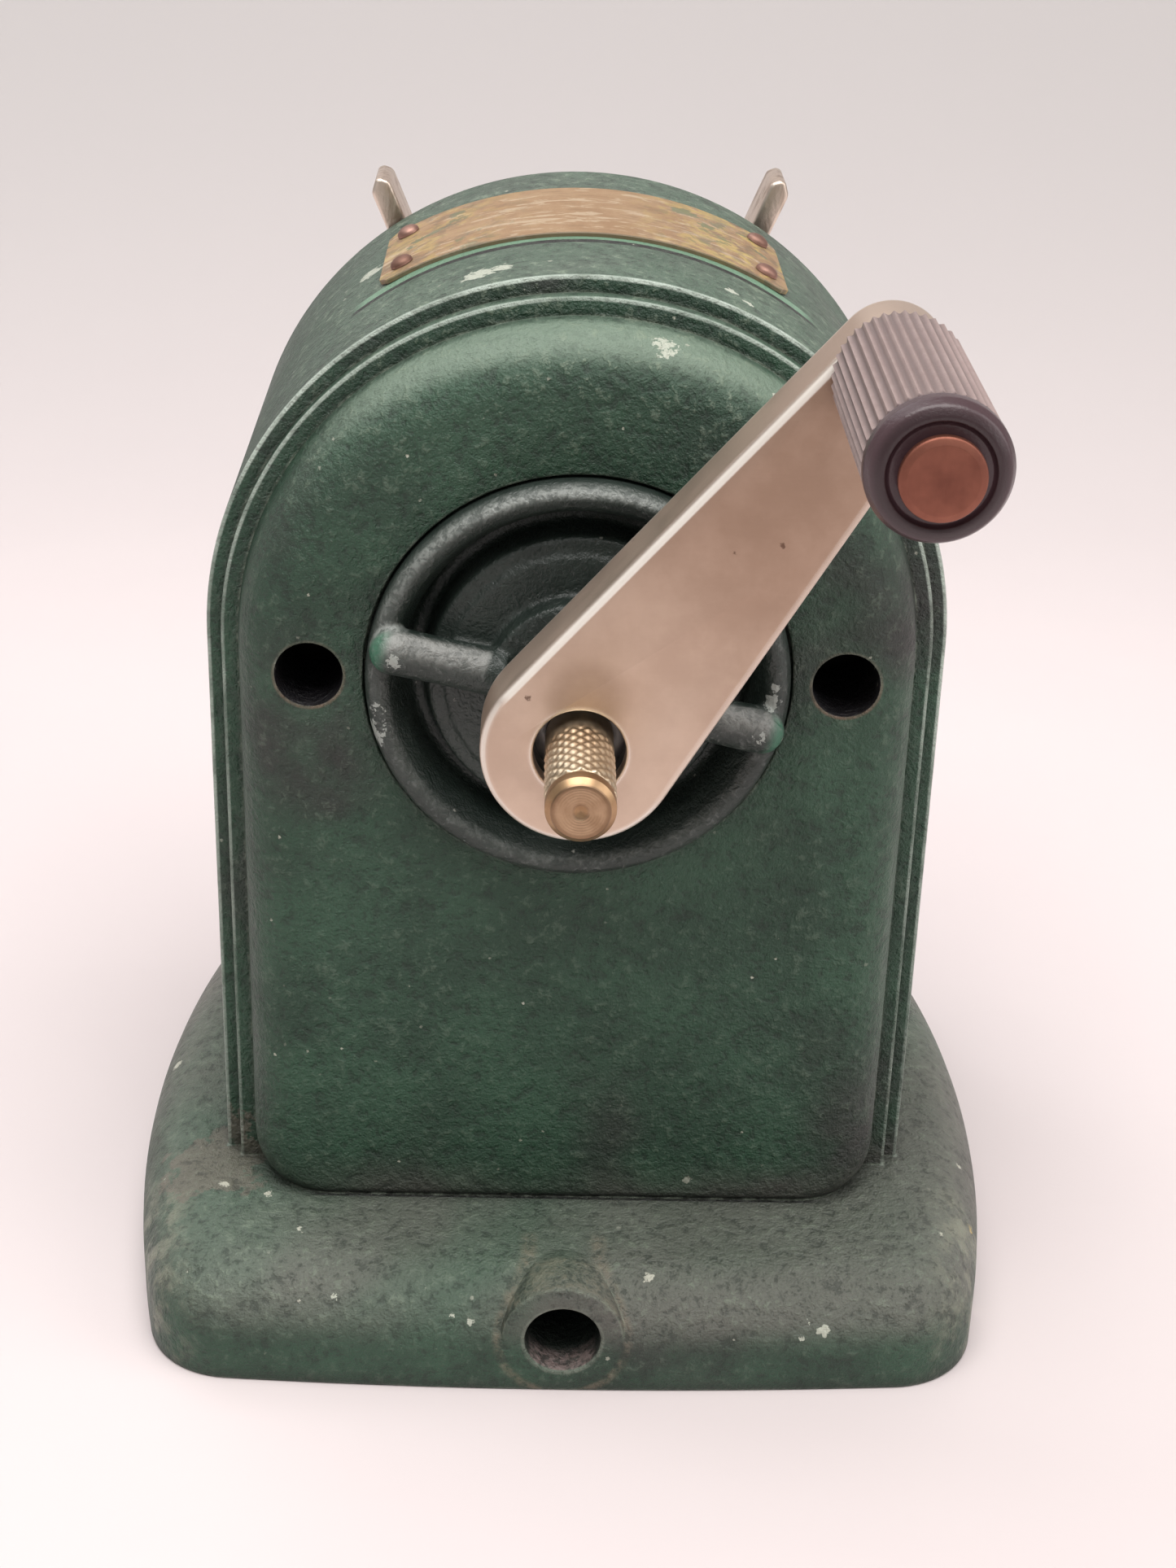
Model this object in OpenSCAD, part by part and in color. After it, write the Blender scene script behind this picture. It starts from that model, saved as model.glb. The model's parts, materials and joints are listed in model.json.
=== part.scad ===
// Hand-cranked desk pencil sharpener with an arched cast housing, a single milling cutter
// driven by a planetary pinion, a spring-fed pencil carriage and a shavings drawer.
// Millimetres. +Z is up, the crank is at -Y, the pencil goes in from +Y.
// The origin is the centre of the underside of the base.

/* [Housing] */
// Radius of the arched top, and half the width of the housing
arch_r = 41; // [40:0.5:43]
// Height of the centre of the arch
arch_z = 81; // [80:0.5:83]
// Where the front edge of the housing lies
front_y = -18; // [-19:0.5:-17]
// Where the open back of the housing lies
back_y = 32; // [31:0.5:33]
// Thickness of the cast walls
wall = 3.5; // [3:0.25:4]
// How far the cushion-shaped front panel stands out from the front edge
panel_depth = 10; // [9.5:0.25:10.5]
// Radius of the rounded edge of the front panel
panel_round = 5.5; // [4:0.25:6]

/* [Base] */
// Half the width of the base at its widest
base_half_w = 52.7; // [52:0.1:56]
// Half the depth of the base
base_half_d = 47; // [46:0.5:48]
// Height of the base
base_h = 13.3; // [13:0.1:14]
// How much narrower each side is at the corners than in the middle
base_bow = 4.4; // [2:0.1:5]
// Radius of the corners seen from above
base_corner = 9.5; // [9:0.25:12]
// Radius of the rounded top edge
base_round = 8; // [5:0.25:8]
// Radius of the hole for the rod of a desk clamp
clamp_r = 4.3; // [4:0.1:4.6]
// Depth of that hole
clamp_depth = 32; // [24:1:36]
// Height of that hole
clamp_z = 7.1; // [7.1:0.1:7.5]

/* [Crank] */
// Height of the crankshaft and of the guide rods
axis_z = 80.5; // [80:0.1:81]
// Distance from the crankshaft to the knob
crank_throw = 49.3; // [46:0.1:52]
// Angle of the arm above the horizontal
crank_angle = 54.2; // [0:0.1:90]
// Radius of the arm round the crankshaft
arm_hub_r = 10.1; // [9.5:0.1:11]
// Radius of the arm round the knob's axle
arm_tip_r = 5.4; // [5:0.1:6]
// Depth of the arm's folded edge
arm_depth = 6.8; // [5:0.1:7]
// Front face of the arm
arm_y = -46.5; // [-47:0.1:-46]
// Radius of the knob
knob_r = 6.45; // [6:0.05:7]
// Length of the knob
knob_len = 29.2; // [26:0.1:30]
// Number of flutes round the knob
knob_flute_n = 40; // [30:1:44]

/* [Bearing cap] */
// Radius of the cap
cap_r = 22.8; // [22.5:0.05:22.9]
// Thickness of the finger bar across the cap
cap_bar_d = 5.3; // [4.5:0.1:5.5]
// Tilt of the finger bar from the horizontal
cap_bar_tilt = 12; // [0:1:20]

/* [Cutter] */
// Radius of the milling cutter
cutter_r = 6.7; // [6.6:0.01:6.75]
// Tilt of the cutter's axis, which is half the angle of the sharpened point
cutter_tilt = 10.5; // [10.4:0.02:10.6]
// Number of cutting edges
cutter_teeth = 16; // [12:1:20]
// Where the tip of the sharpened pencil comes to
tip_y = -9; // [-9.2:0.1:-8.9]

/* [Pencil feed] */
// Distance of each guide rod from the middle
rod_x = 28.9; // [28:0.1:29.5]
// Radius of the bores that the rods' collars slide in
rod_bore_r = 3.64; // [3.6:0.01:3.7]
// How far the carriage can be pulled out
feed_travel = 30; // [26:1:30]
// Radius of the largest pencil that the guide takes
pencil_r = 4.2; // [3.9:0.1:4.3]

/* [Drawer] */
// Half the width of the drawer
drawer_half_w = 32; // [28:0.5:32]
// Height of the drawer's walls
drawer_h = 33; // [28:0.5:33]

/* [Hidden] */

$fn = 64;
soft_fn = 32;
cut = 0.5;
play = 0.1;

green = "#2f5a43";
dark_green = "#26402f";
nickel = "#c9bba4";
steel = "#9aa0a3";
brass = "#b08d57";
copper = "#9c5636";
bakelite = "#4a3338";

// Housing: the two narrow steps round the front panel
ridge_inset = 1.8;
ridge_depth = 2;
panel_inset = 3.7;
panel_draft = 0.4;
ridge_y = front_y - ridge_depth;
panel_y = front_y - panel_depth;
panel_back_y = panel_y + wall;
cover_t = 3.5;
cover_y = back_y - cover_t;
cover_gap = 0.15;

// Housing: seat of the bearing cap, and the notches that let its lugs in
seat_r = cap_r + 0.3;
seat_depth = 2;
hatch_r = 21.5;
lug_r = 22.7;
lug_w = 9;
lug_t = 2;
notch_w = lug_w + 1.5;

// Housing: tubes round the guide rods, and bosses for the cover's screws
tube_r = 5.6;
cover_screw_spots = [[-21.2, 107.4], [21.2, 107.4], [-34, 56], [34, 56]];
screw_boss_r = 4;
screw_boss_len = 12;
screw_r = 1.5;
screw_head_r = 2.9;
screw_head_t = 1.6;
screw_play = 0.05;

// Base: pockets underneath, on each side of the block that the clamp rod's hole is in
socket_half_w = 8.5;
socket_end = 3;
pocket_rim = 7;
pocket_h = 8.6;
boss_r = 7.1;
boss_len = 8;
boss_fade = 8;
boss_tip_r = 4;

// Nameplate: bent on a flatter arc than the housing, in a shallow recess
plate_r = 43.4;
plate_zc = 78.3;
plate_half_w = 22.6;
plate_t = 0.5;
plate_y0 = -0.2;
plate_y1 = 21.9;
recess_half_w = 25.3;
recess_gap = 0.5;
recess_front_gap = 1.1;
plate_rivet_x = 20.2;
plate_rivet_ys = [3.6, 18.1];
plate_rivet_r = 1.3;
plate_rivet_h = 0.9;

// Crankshaft
shaft_r = 5;
running = 0.05;
bush_r = 6.5;
cap_face_y = panel_y - 2.3;
cap_hub_y = cap_face_y - 0.7;
cap_back_y = -20.5;
cap_hub_r = 9.85;
cap_disc_r = 14.2;
cap_disc_y = cap_face_y + 1.9;
cap_step_y = cap_disc_y + 0.6;
cap_groove_y = -23.4;
cap_groove_r0 = 16.6;
cap_groove_r1 = 18.4;
cap_crest_r = 21.2;
cap_crest_y = cap_face_y - 0.5;
cap_inner_r = 13;
cap_shell = 2.2;
cap_bar_y = cap_face_y - 0.6;
hub_r = 7.6;
hub_y = cap_hub_y - 0.2;
hub_screw_r = 1.55;
hub_screw_start = 4;
hub_screw_depth = 3.6;
arm_sheet = 2;
arm_skin = 1.6;
arm_inner_y = arm_y + arm_sheet;
arm_hole_r = 4.7;
shaft_end_y = arm_y + 4.5;
shaft_back_y = -19.5;
shaft_bore_r = 3.1;
shaft_bore_y = -24;
spigot_r = 3.3;
stop_r = 1.2;
stop_play = 0.1;

// Knob and the rivet it turns on
knob_flute_depth = 0.35;
knob_face_r = 4.8;
axle_rivet_r = 1.8;
rivet_head_r = 3.78;
rivet_back_r = 2.7;

// Cutter: its axis leans away from the crankshaft towards the pencil
cutter_lift = cutter_r / cos(cutter_tilt);
cutter_axle_r = 1.5;
axle_start = -9.4;
axle_nut_start = -3.4;
axle_nut_r = 2.6;
axle_nut_t = 1.6;
cutter_start = -1.4;
cutter_end = 21.5;
cutter_tooth_h = 0.9;
cutter_twist = 50;
journal_r = 3;
carrier_front_r = 13;
carrier_front_t = 3.5;
carrier_back_y = 13.9;
carrier_back_t = 2.1;
carrier_back_r = 16;
carrier_bar_r = 9.5;
carrier_bar_t = 3;
carrier_bar_arc = 26;
carrier_bar_angles = [218, 322];

// Planetary gears: the pinion rolls inside a fixed ring
gear_module = 1;
pinion_n = 12;
ring_n = 36;
pinion_s = 28.48;
pinion_w = 3;
tooth_tip = 0.9;
tooth_root = 1.3;
tooth_w = 1.2;
tooth_taper = 0.35;
ring_y = 15.8;
ring_tooth_w = 4.4;
ring_outer_r = 22;
ring_flange_t = 2;
ring_lug_r = 4;
ring_screw_r = 24.7;
ring_lug_angles = [90, 210, 330];
gear_screw_r = 1.15;
gear_head_r = 2.5;
gear_head_t = 1.2;

// Adjusting screw and point stop
adjust_r = 3.6;
adjust_end_y = -59.7;
adjust_stem_r = 1.6;
adjust_flange_r = 2.8;
adjust_stem_y = -30;
nut_y = shaft_end_y + 0.2;
nut_t = 1.8;
sleeve_y0 = -37;
sleeve_y1 = -26.5;
stop_end_y = tip_y;
stop_nose_y = tip_y - 3.5;
stop_nose_drop = 0.45;

// Pencil carriage
carriage_y = back_y + 1;
carriage_t = 4;
carriage_half_w = 35.5;
head_r = 25;
head_z = 88;
head_foot_z = 62;
rod_r = 2;
collar_t = 4;
spring_solid = 10.5;
collar_y = cover_y - spring_solid - feed_travel - collar_t;
collar_r = rod_bore_r - 0.08;
rod_bush_r = 4.5;
rod_nut_r = 3.4;
rod_nut_t = 2.4;
spring_wire = 0.45;
spring_r = 2.85;
spring_turns = 10;
spring_steps = 12;
spring_sides = 6;
guide_r = 6.5;
guide_front_y = 22.5;
guide_flange_r = 9;

// Pinch levers: plates on pins, with a finger tab on top and a jaw at the bottom
lever_t = 1.7;
lever_gap = 0.3;
right_y = carriage_y + carriage_t + lever_gap;
left_y = right_y + lever_t + lever_gap;
lever_plate_y = left_y + lever_t + lever_gap;
lever_plate_t = 1.5;
plate_eye_r = 14;
plate_lug_r = 5;
pin_x = 13;
pin_z = 98;
pin_r = 2;
tab_x = 25;
tab_z = 120.2;
tab_tilt = 22;
tab_t = 2.4;
tab_round = 2.5;
tab_w = 8.2;
lever_lean = atan((tab_x - pin_x) / (tab_z - pin_z));
tab_len = 13;
lever_half_w = 3.2;
lever_eye_r = 4.6;
lever_foot_x = 9.5;
lever_base_h = 82;
jaw_x = 4.2;
jaw_w = 8.5;
jaw_h = 13;
jaw_y1 = lever_plate_y - lever_gap;
jaw_face_gap = 0.7;
jaw_rivet_r = 0.75;
jaw_rivet_zs = [axis_z - 2.6, axis_z + 2.6];
clip_r = 3.2;
clip_t = 1;
peg_z = 105;
peg_r = 1.5;
lever_wire = 0.9;
lever_coil_r = 2.1;
lever_leg = 11.5;

// Drawer
tray_gap = 0.3;
tray_wall = 1;
tray_y0 = -20;
front_plate_t = 1.8;
front_plate_lip = 3;
drawer_knob_r = 5;
drawer_knob_len = 8;

// Puts a solid that stands on z = 0 so that it points along -Y, from y
module toward_crank(y) {
    translate([0, y, 0]) rotate([90, 0, 0]) children();
}

// Puts a solid that stands on z = 0 so that it points along +Y, from y
module toward_pencil(y) {
    translate([0, y, 0]) rotate([-90, 0, 0]) children();
}

// A round bar along Y between two planes
module bar_y(x, z, r, y0, y1) {
    translate([x, y0, z]) rotate([-90, 0, 0]) cylinder(r = r, h = y1 - y0);
}

// The housing's outline, smaller by inset all round, between two planes
module tombstone(inset, y0, y1, z0) {
    r = arch_r - inset;
    bar_y(0, arch_z, r, y0, y1);
    translate([-r, y0, z0]) cube([2 * r, y1 - y0, arch_z - z0]);
}

// Half profile of the front panel: distance from the middle, and height above its root
function panel_profile(r, h) = concat(
    [[0, -wall / 2], [r, -wall / 2], [r, 0]],
    [for (a = [0:15:90]) [r - panel_draft - panel_round * (1 - cos(a)), h - panel_round * (1 - sin(a))]],
    [[0, h]]
);

// The cushion-shaped panel: a turned arch on two straight sides
module panel() {
    r = arch_r - panel_inset;
    h = panel_depth - ridge_depth;
    profile = panel_profile(r, h);
    translate([0, ridge_y, arch_z]) rotate([90, 0, 0]) rotate_extrude(angle = 180) polygon(profile);
    for (s = [-1, 1])
        translate([0, ridge_y, base_h]) linear_extrude(arch_z - base_h)
            polygon([for (p = profile) [s * p[0], -p[1]]]);
}

// One rounded post of the base; the base is the hull of ten of them
module base_post(x, y) {
    edge_r = base_corner - base_round;
    edge_z = base_h - base_round;
    edge = [for (a = [0:15:90]) [edge_r + base_round * cos(a), edge_z + base_round * sin(a)]];
    translate([x, y, 0]) rotate_extrude($fn = soft_fn)
        polygon(concat([[0, 0], [base_corner, 0]], edge, [[0, base_h]]));
}

module base_block() {
    y_corner = base_half_d - base_corner;
    hull() {
        for (s = [-1, 1]) for (f = [-1, -0.5, 0, 0.5, 1])
            base_post(s * (base_half_w - base_bow * f * f - base_corner), f * y_corner);
    }
}

// Boss round the clamp rod's hole, fading into the top of the base
module clamp_boss() {
    bar_y(0, clamp_z, boss_r, -base_half_d, -base_half_d + boss_len);
    translate([0, -base_half_d + boss_len, clamp_z]) rotate([-90, 0, 0])
        cylinder(r1 = boss_r, r2 = boss_tip_r, h = boss_fade);
}

// Room for the cutter and the drawer
module cavity() {
    intersection() {
        tombstone(wall, panel_back_y, back_y + cut, base_h - cut);
        union() {
            translate([-arch_r, front_y, 0]) cube([2 * arch_r, back_y - front_y + cut, arch_z + arch_r]);
            tombstone(panel_inset + wall, panel_back_y, front_y + cut, base_h - cut);
        }
    }
}

module base_pocket(side) {
    w = base_half_w - base_bow - pocket_rim - socket_half_w;
    d = 2 * (base_half_d - pocket_rim);
    translate([side * (socket_half_w + w / 2), 0, pocket_h / 2 - cut])
        cube([w, d, pocket_h + 2 * cut], center = true);
}

// The wall that carries the bearing cap: its round hatch, its seat and two notches for the lugs
module cap_seat() {
    bar_y(0, axis_z, seat_r, panel_y - cut, panel_y + seat_depth);
    bar_y(0, axis_z, hatch_r, panel_y - cut, panel_back_y + cut);
    intersection() {
        bar_y(0, axis_z, lug_r + 0.2, panel_y, panel_back_y + cut);
        translate([-notch_w / 2, panel_y, axis_z - arch_r]) cube([notch_w, wall + cut, 2 * arch_r]);
    }
}

module plate_recess() {
    y0 = plate_y0 - recess_front_gap;
    y1 = plate_y1 + recess_gap;
    difference() {
        translate([-recess_half_w, y0, arch_z + arch_r / 2])
            cube([2 * recess_half_w, y1 - y0, arch_r]);
        bar_y(0, plate_zc, plate_r, y0 - cut, y1 + cut);
    }
}

module housing() {
    color(green) difference() {
        union() {
            difference() {
                union() {
                    tombstone(0, front_y, back_y, base_h);
                    tombstone(ridge_inset, ridge_y, front_y + cut, base_h);
                    panel();
                }
                cavity();
            }
            for (s = [-1, 1]) bar_y(s * rod_x, axis_z, tube_r, panel_back_y - 1, cover_y);
            for (p = cover_screw_spots)
                bar_y(p[0], p[1], screw_boss_r, cover_y - screw_boss_len, cover_y);
        }
        cap_seat();
        for (s = [-1, 1]) bar_y(s * rod_x, axis_z, rod_bore_r, panel_y - cut, cover_y + cut);
        for (p = cover_screw_spots)
            bar_y(p[0], p[1], screw_r + screw_play, cover_y - screw_boss_len + 2, cover_y + cut);
        plate_recess();
        for (s = [-1, 1]) for (y = plate_rivet_ys) plate_rivet_bar(s, y, 0);
    }
}

// The block in the middle of the base's front, from the boss to just past the end of the hole
module socket_space() {
    translate([-socket_half_w, -base_half_d - cut, -cut])
        cube([2 * socket_half_w, clamp_depth + socket_end + cut, base_h + boss_r]);
}

module base() {
    color(green) difference() {
        base_block();
        socket_space();
        for (s = [-1, 1]) base_pocket(s);
    }
}

module clamp_socket() {
    color(green) difference() {
        intersection() {
            union() {
                base_block();
                clamp_boss();
            }
            socket_space();
        }
        bar_y(0, clamp_z, clamp_r, -base_half_d - cut, -base_half_d + clamp_depth);
    }
}

// The stem of a nameplate rivet, pushed outward by rise
module plate_rivet_bar(side, y, rise) {
    a = asin(plate_rivet_x / plate_r);
    translate([0, y, plate_zc]) rotate([0, side * a, 0])
        translate([0, 0, plate_r - 2.4 + rise]) cylinder(r = 0.8, h = 3 + plate_t - rise);
}

module nameplate() {
    color(brass) difference() {
        intersection() {
            bar_y(0, plate_zc, plate_r + plate_t, plate_y0, plate_y1);
            translate([-plate_half_w, plate_y0 - cut, arch_z + arch_r / 2])
                cube([2 * plate_half_w, plate_y1 - plate_y0 + 2 * cut, arch_r]);
        }
        bar_y(0, plate_zc, plate_r, plate_y0 - cut, plate_y1 + cut);
        for (s = [-1, 1]) for (y = plate_rivet_ys) plate_rivet_bar(s, y, 0);
    }
}

// Four round-headed rivets through the nameplate
module nameplate_rivets() {
    a = asin(plate_rivet_x / plate_r);
    dome_r = (plate_rivet_r * plate_rivet_r + plate_rivet_h * plate_rivet_h) / (2 * plate_rivet_h);
    color(copper) for (s = [-1, 1]) for (y = plate_rivet_ys)
        translate([0, y, plate_zc]) rotate([0, s * a, 0]) translate([0, 0, plate_r]) {
            translate([0, 0, -2]) cylinder(r = 0.75, h = 2 + plate_t);
            translate([0, 0, plate_t]) intersection() {
                translate([0, 0, plate_rivet_h - dome_r]) sphere(r = dome_r);
                cylinder(r = plate_rivet_r, h = plate_rivet_h);
            }
        }
}

// Opening of the back cover that the drawer slides through
module drawer_gate(y0, y1, gap) {
    w = drawer_half_w + gap;
    translate([-w, y0, base_h]) cube([2 * w, y1 - y0, drawer_h + tray_gap + gap]);
}

// A bar along Y where a screw of the ring gear lies
module ring_screw_bar(angle, r, y0, y1) {
    bar_y(ring_screw_r * cos(angle), axis_z + ring_screw_r * sin(angle), r, y0, y1);
}

module rear_cover() {
    color(green) difference() {
        tombstone(wall + cover_gap, cover_y, back_y, base_h + cover_gap);
        drawer_gate(cover_y - cut, back_y + cut, 0.5);
        bar_y(0, axis_z, guide_r, cover_y - cut, back_y + cut);
        for (s = [-1, 1]) bar_y(s * rod_x, axis_z, rod_bush_r, cover_y - cut, back_y + cut);
        for (p = cover_screw_spots) {
            bar_y(p[0], p[1], screw_r + screw_play, cover_y - cut, back_y + cut);
            bar_y(p[0], p[1], screw_head_r + 0.2, back_y - screw_head_t, back_y + cut);
        }
        for (a = ring_lug_angles) ring_screw_bar(a, gear_screw_r + screw_play, cover_y - cut, back_y - 1);
    }
}

// A slotted cheese-head screw along Y, with its head towards the pencil side
module screw_y(x, z, head_y, length, r, head_r) {
    difference() {
        union() {
            bar_y(x, z, r, head_y - length, head_y);
            bar_y(x, z, head_r, head_y, head_y + screw_head_t - 0.1);
        }
        translate([x - head_r - cut, head_y + screw_head_t - 0.8, z - 0.35])
            cube([2 * (head_r + cut), 2, 0.7]);
    }
}

module cover_screws() {
    color(nickel) for (p = cover_screw_spots)
        screw_y(p[0], p[1], back_y - screw_head_t, 10, screw_r, screw_head_r);
}

module pencil_guide() {
    color(brass) difference() {
        union() {
            bar_y(0, axis_z, guide_r, guide_front_y, back_y);
            bar_y(0, axis_z, guide_flange_r, cover_y - 1.2, cover_y);
        }
        bar_y(0, axis_z, pencil_r, guide_front_y - cut, back_y + cut);
        translate([0, back_y - 2, axis_z]) rotate([-90, 0, 0])
            cylinder(r1 = pencil_r - 0.01, r2 = pencil_r + 1.6, h = 2.2);
    }
}

module rod_bushes() {
    color(brass) for (s = [-1, 1]) difference() {
        union() {
            bar_y(s * rod_x, axis_z, rod_bush_r, cover_y, back_y);
            bar_y(s * rod_x, axis_z, rod_bush_r + 1.2, back_y, back_y + 0.5);
        }
        bar_y(s * rod_x, axis_z, rod_r + running, cover_y - cut, back_y + 1);
    }
}

// Angles of the corners of one tooth, from its root to its tip and back
function tooth_corners(r_root, r_tip, w_root, w_tip) = [
    [r_root, -asin(w_root / 2 / r_root)],
    [r_tip, -asin(w_tip / 2 / r_tip)],
    [r_tip, asin(w_tip / 2 / r_tip)],
    [r_root, asin(w_root / 2 / r_root)]
];

// A gear's outline from n trapezoid teeth, turned by start degrees
function gear_outline(n, r_root, r_tip, w_root, w_tip, start) = [
    for (i = [0:n - 1]) for (c = tooth_corners(r_root, r_tip, w_root, w_tip))
        [c[0] * cos(start + i * 360 / n + c[1]), c[0] * sin(start + i * 360 / n + c[1])]
];

function pitch_r(n) = gear_module * n / 2;

// Fixed internal gear on three lugs behind the cutter
module ring_gear() {
    p = pitch_r(ring_n);
    outline = gear_outline(ring_n, p + tooth_root, p - tooth_tip, tooth_w + tooth_taper * 2,
        tooth_w - tooth_taper, 90 + 180 / ring_n);
    color(steel) difference() {
        union() {
            bar_y(0, axis_z, ring_outer_r, ring_y, cover_y);
            for (a = ring_lug_angles) ring_screw_bar(a, ring_lug_r, cover_y - ring_flange_t, cover_y);
        }
        translate([0, 0, axis_z]) toward_crank(ring_y + ring_tooth_w) linear_extrude(ring_tooth_w + cut)
            polygon(outline);
        bar_y(0, axis_z, p + tooth_root + 0.3, ring_y + ring_tooth_w, cover_y + cut);
        for (a = ring_lug_angles)
            ring_screw_bar(a, gear_screw_r + 0.35, cover_y - ring_flange_t - 1, cover_y + cut);
    }
}

module gear_screws() {
    lug_y = cover_y - ring_flange_t;
    color(steel) for (a = ring_lug_angles) {
        ring_screw_bar(a, gear_screw_r, lug_y, back_y - 1.2);
        ring_screw_bar(a, gear_head_r, lug_y - gear_head_t, lug_y);
    }
}

// Turned cap: a rounded rim, a deep groove, a raised disc and a hub, hollow behind
module bearing_cap() {
    rim = [
        [bush_r, cap_hub_y], [cap_hub_r, cap_hub_y], [cap_hub_r, cap_disc_y],
        [cap_disc_r, cap_disc_y], [cap_disc_r + 0.3, cap_step_y], [cap_groove_r0 - 0.4, cap_step_y],
        [cap_groove_r0, cap_groove_y], [cap_groove_r1, cap_groove_y],
        [cap_groove_r1 + 0.6, cap_step_y + 0.3], [cap_crest_r - 1, cap_crest_y + 0.7],
        [cap_crest_r, cap_crest_y], [cap_crest_r + 1, cap_crest_y + 0.5], [cap_r, cap_crest_y + 1.8],
        [cap_r, panel_y + seat_depth - running], [hatch_r - 0.3, panel_y + seat_depth - running],
        [hatch_r - 0.3, cap_back_y], [cap_groove_r1 + 0.2, cap_back_y],
        [cap_groove_r1 + 0.2, cap_back_y - 0.9], [cap_inner_r, cap_back_y - 0.9],
        [cap_inner_r, cap_disc_y + cap_shell], [cap_hub_r - 0.8, cap_disc_y + cap_shell],
        [cap_hub_r - 0.8, cap_back_y], [bush_r, cap_back_y]
    ];
    color(dark_green) {
        translate([0, 0, axis_z]) rotate([90, 0, 0]) rotate_extrude() polygon([for (p = rim) [p[0], -p[1]]]);
        difference() {
            translate([0, cap_bar_y, axis_z]) rotate([0, cap_bar_tilt, 0]) {
                rotate([0, 90, 0]) cylinder(d = cap_bar_d, h = 2 * (cap_r - cap_bar_d / 2), center = true);
                for (s = [-1, 1]) translate([s * (cap_r - cap_bar_d / 2), 0, 0]) sphere(d = cap_bar_d);
            }
            bar_y(0, axis_z, cap_hub_r - 1.8, cap_face_y - 6, cap_back_y);
            bar_y(0, axis_z, cap_r + 2, panel_y + seat_depth - running, cap_back_y);
        }
        for (s = [-1, 1]) intersection() {
            difference() {
                bar_y(0, axis_z, lug_r, panel_back_y + tray_gap, panel_back_y + tray_gap + lug_t);
                bar_y(0, axis_z, hatch_r - 2.5, panel_back_y - cut, cap_back_y + cut);
            }
            translate([s > 0 ? 0 : -arch_r, panel_back_y - 1, axis_z - lug_w / 2]) cube([arch_r, 8, lug_w]);
        }
    }
}

module cap_bush() {
    color(brass) difference() {
        bar_y(0, axis_z, bush_r, cap_hub_y, cap_back_y);
        bar_y(0, axis_z, shaft_r + running, cap_hub_y - cut, cap_back_y + cut);
    }
}

// A plate between two round ends of different radius, whose sides start a hair inside the rounds
module tapered_plate(r1, r2, length, t) {
    w1 = r1 - 0.03;
    w2 = r2 - 0.03;
    cylinder(r = r1, h = t);
    translate([length, 0, 0]) cylinder(r = r2, h = t);
    linear_extrude(t) polygon([[0, w1], [length, w2], [length, -w2], [0, -w1]]);
}

// Puts a solid drawn along +X, standing on z = 0, on the crank's front side from plane y
module on_crank(y) {
    translate([0, y, axis_z]) rotate([90, 0, 0]) rotate([0, 0, crank_angle]) children();
}

// Hollow of the arm's back: round at the hub, then narrowing and ending before the knob's axle
module arm_pocket() {
    pocket_end = crank_throw - arm_tip_r - 1;
    slope = (arm_hub_r - arm_tip_r) / crank_throw;
    pocket_r = arm_hub_r - arm_skin;
    start_w = pocket_r - 0.8;
    translate([0, 0, -cut]) {
        cylinder(r = pocket_r, h = arm_depth - arm_sheet + cut);
        linear_extrude(arm_depth - arm_sheet + cut) polygon([
            [0, start_w],
            [pocket_end, start_w - slope * pocket_end],
            [pocket_end, slope * pocket_end - start_w],
            [0, -start_w]
        ]);
    }
}

// Pressed arm: a face with a folded edge all round
module crank_arm() {
    color(nickel) on_crank(arm_y + arm_depth) difference() {
        tapered_plate(arm_hub_r, arm_tip_r, crank_throw, arm_depth);
        arm_pocket();
        translate([0, 0, -cut]) cylinder(r = arm_hole_r, h = arm_depth + 2 * cut);
        translate([crank_throw, 0, -cut]) cylinder(r = axle_rivet_r, h = arm_depth + 2 * cut);
        translate([crank_throw, 0, -cut]) cylinder(r = rivet_back_r + play, h = 1.6 + cut);
    }
}

module crank_hub() {
    color(steel) difference() {
        bar_y(0, axis_z, hub_r, arm_inner_y, hub_y);
        bar_y(0, axis_z, arm_hole_r, arm_inner_y - cut, shaft_end_y + cut);
        bar_y(0, axis_z, shaft_r, shaft_end_y, hub_y + cut);
        hub_screw_hole();
    }
}

// Puts a solid that stands on z = 0 across the hub, at right angles to the arm
module across_hub() {
    translate([0, hub_y - hub_screw_depth, axis_z]) rotate([0, 90 - crank_angle, 0]) rotate([0, -90, 0])
        children();
}

module hub_screw_hole() {
    across_hub() translate([0, 0, hub_screw_start]) cylinder(r = hub_screw_r + screw_play, h = hub_r);
}

module hub_screw() {
    color(steel) difference() {
        across_hub() translate([0, 0, hub_screw_start])
            cylinder(r = hub_screw_r, h = hub_r - hub_screw_start - 0.2);
        across_hub() translate([-2, -0.25, hub_r - 1]) cube([4, 0.5, 2]);
    }
}

module hollow_shaft() {
    color(steel) difference() {
        union() {
            bar_y(0, axis_z, shaft_r, shaft_end_y, shaft_back_y);
            bar_y(0, axis_z, spigot_r, shaft_back_y, shaft_back_y + 3);
        }
        bar_y(0, axis_z, shaft_bore_r, shaft_end_y - cut, shaft_bore_y);
        bar_y(0, axis_z, stop_r + stop_play, shaft_bore_y - cut, shaft_back_y + 3 + cut);
        hub_screw_hole();
    }
}

// Ring nut in the end of the shaft: it keeps the adjusting screw in
module retaining_nut() {
    color(brass) difference() {
        bar_y(0, axis_z, shaft_bore_r, nut_y, nut_y + nut_t);
        bar_y(0, axis_z, adjust_stem_r + stop_play, nut_y - cut, nut_y + nut_t + cut);
    }
}

// Puts a solid that stands on z = 0 on the cutter's axis, s along it from above the pencil's tip
module on_cutter(s) {
    translate([0, tip_y, axis_z + cutter_lift]) rotate([cutter_tilt - 90, 0, 0])
        translate([0, 0, s]) children();
}

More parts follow.
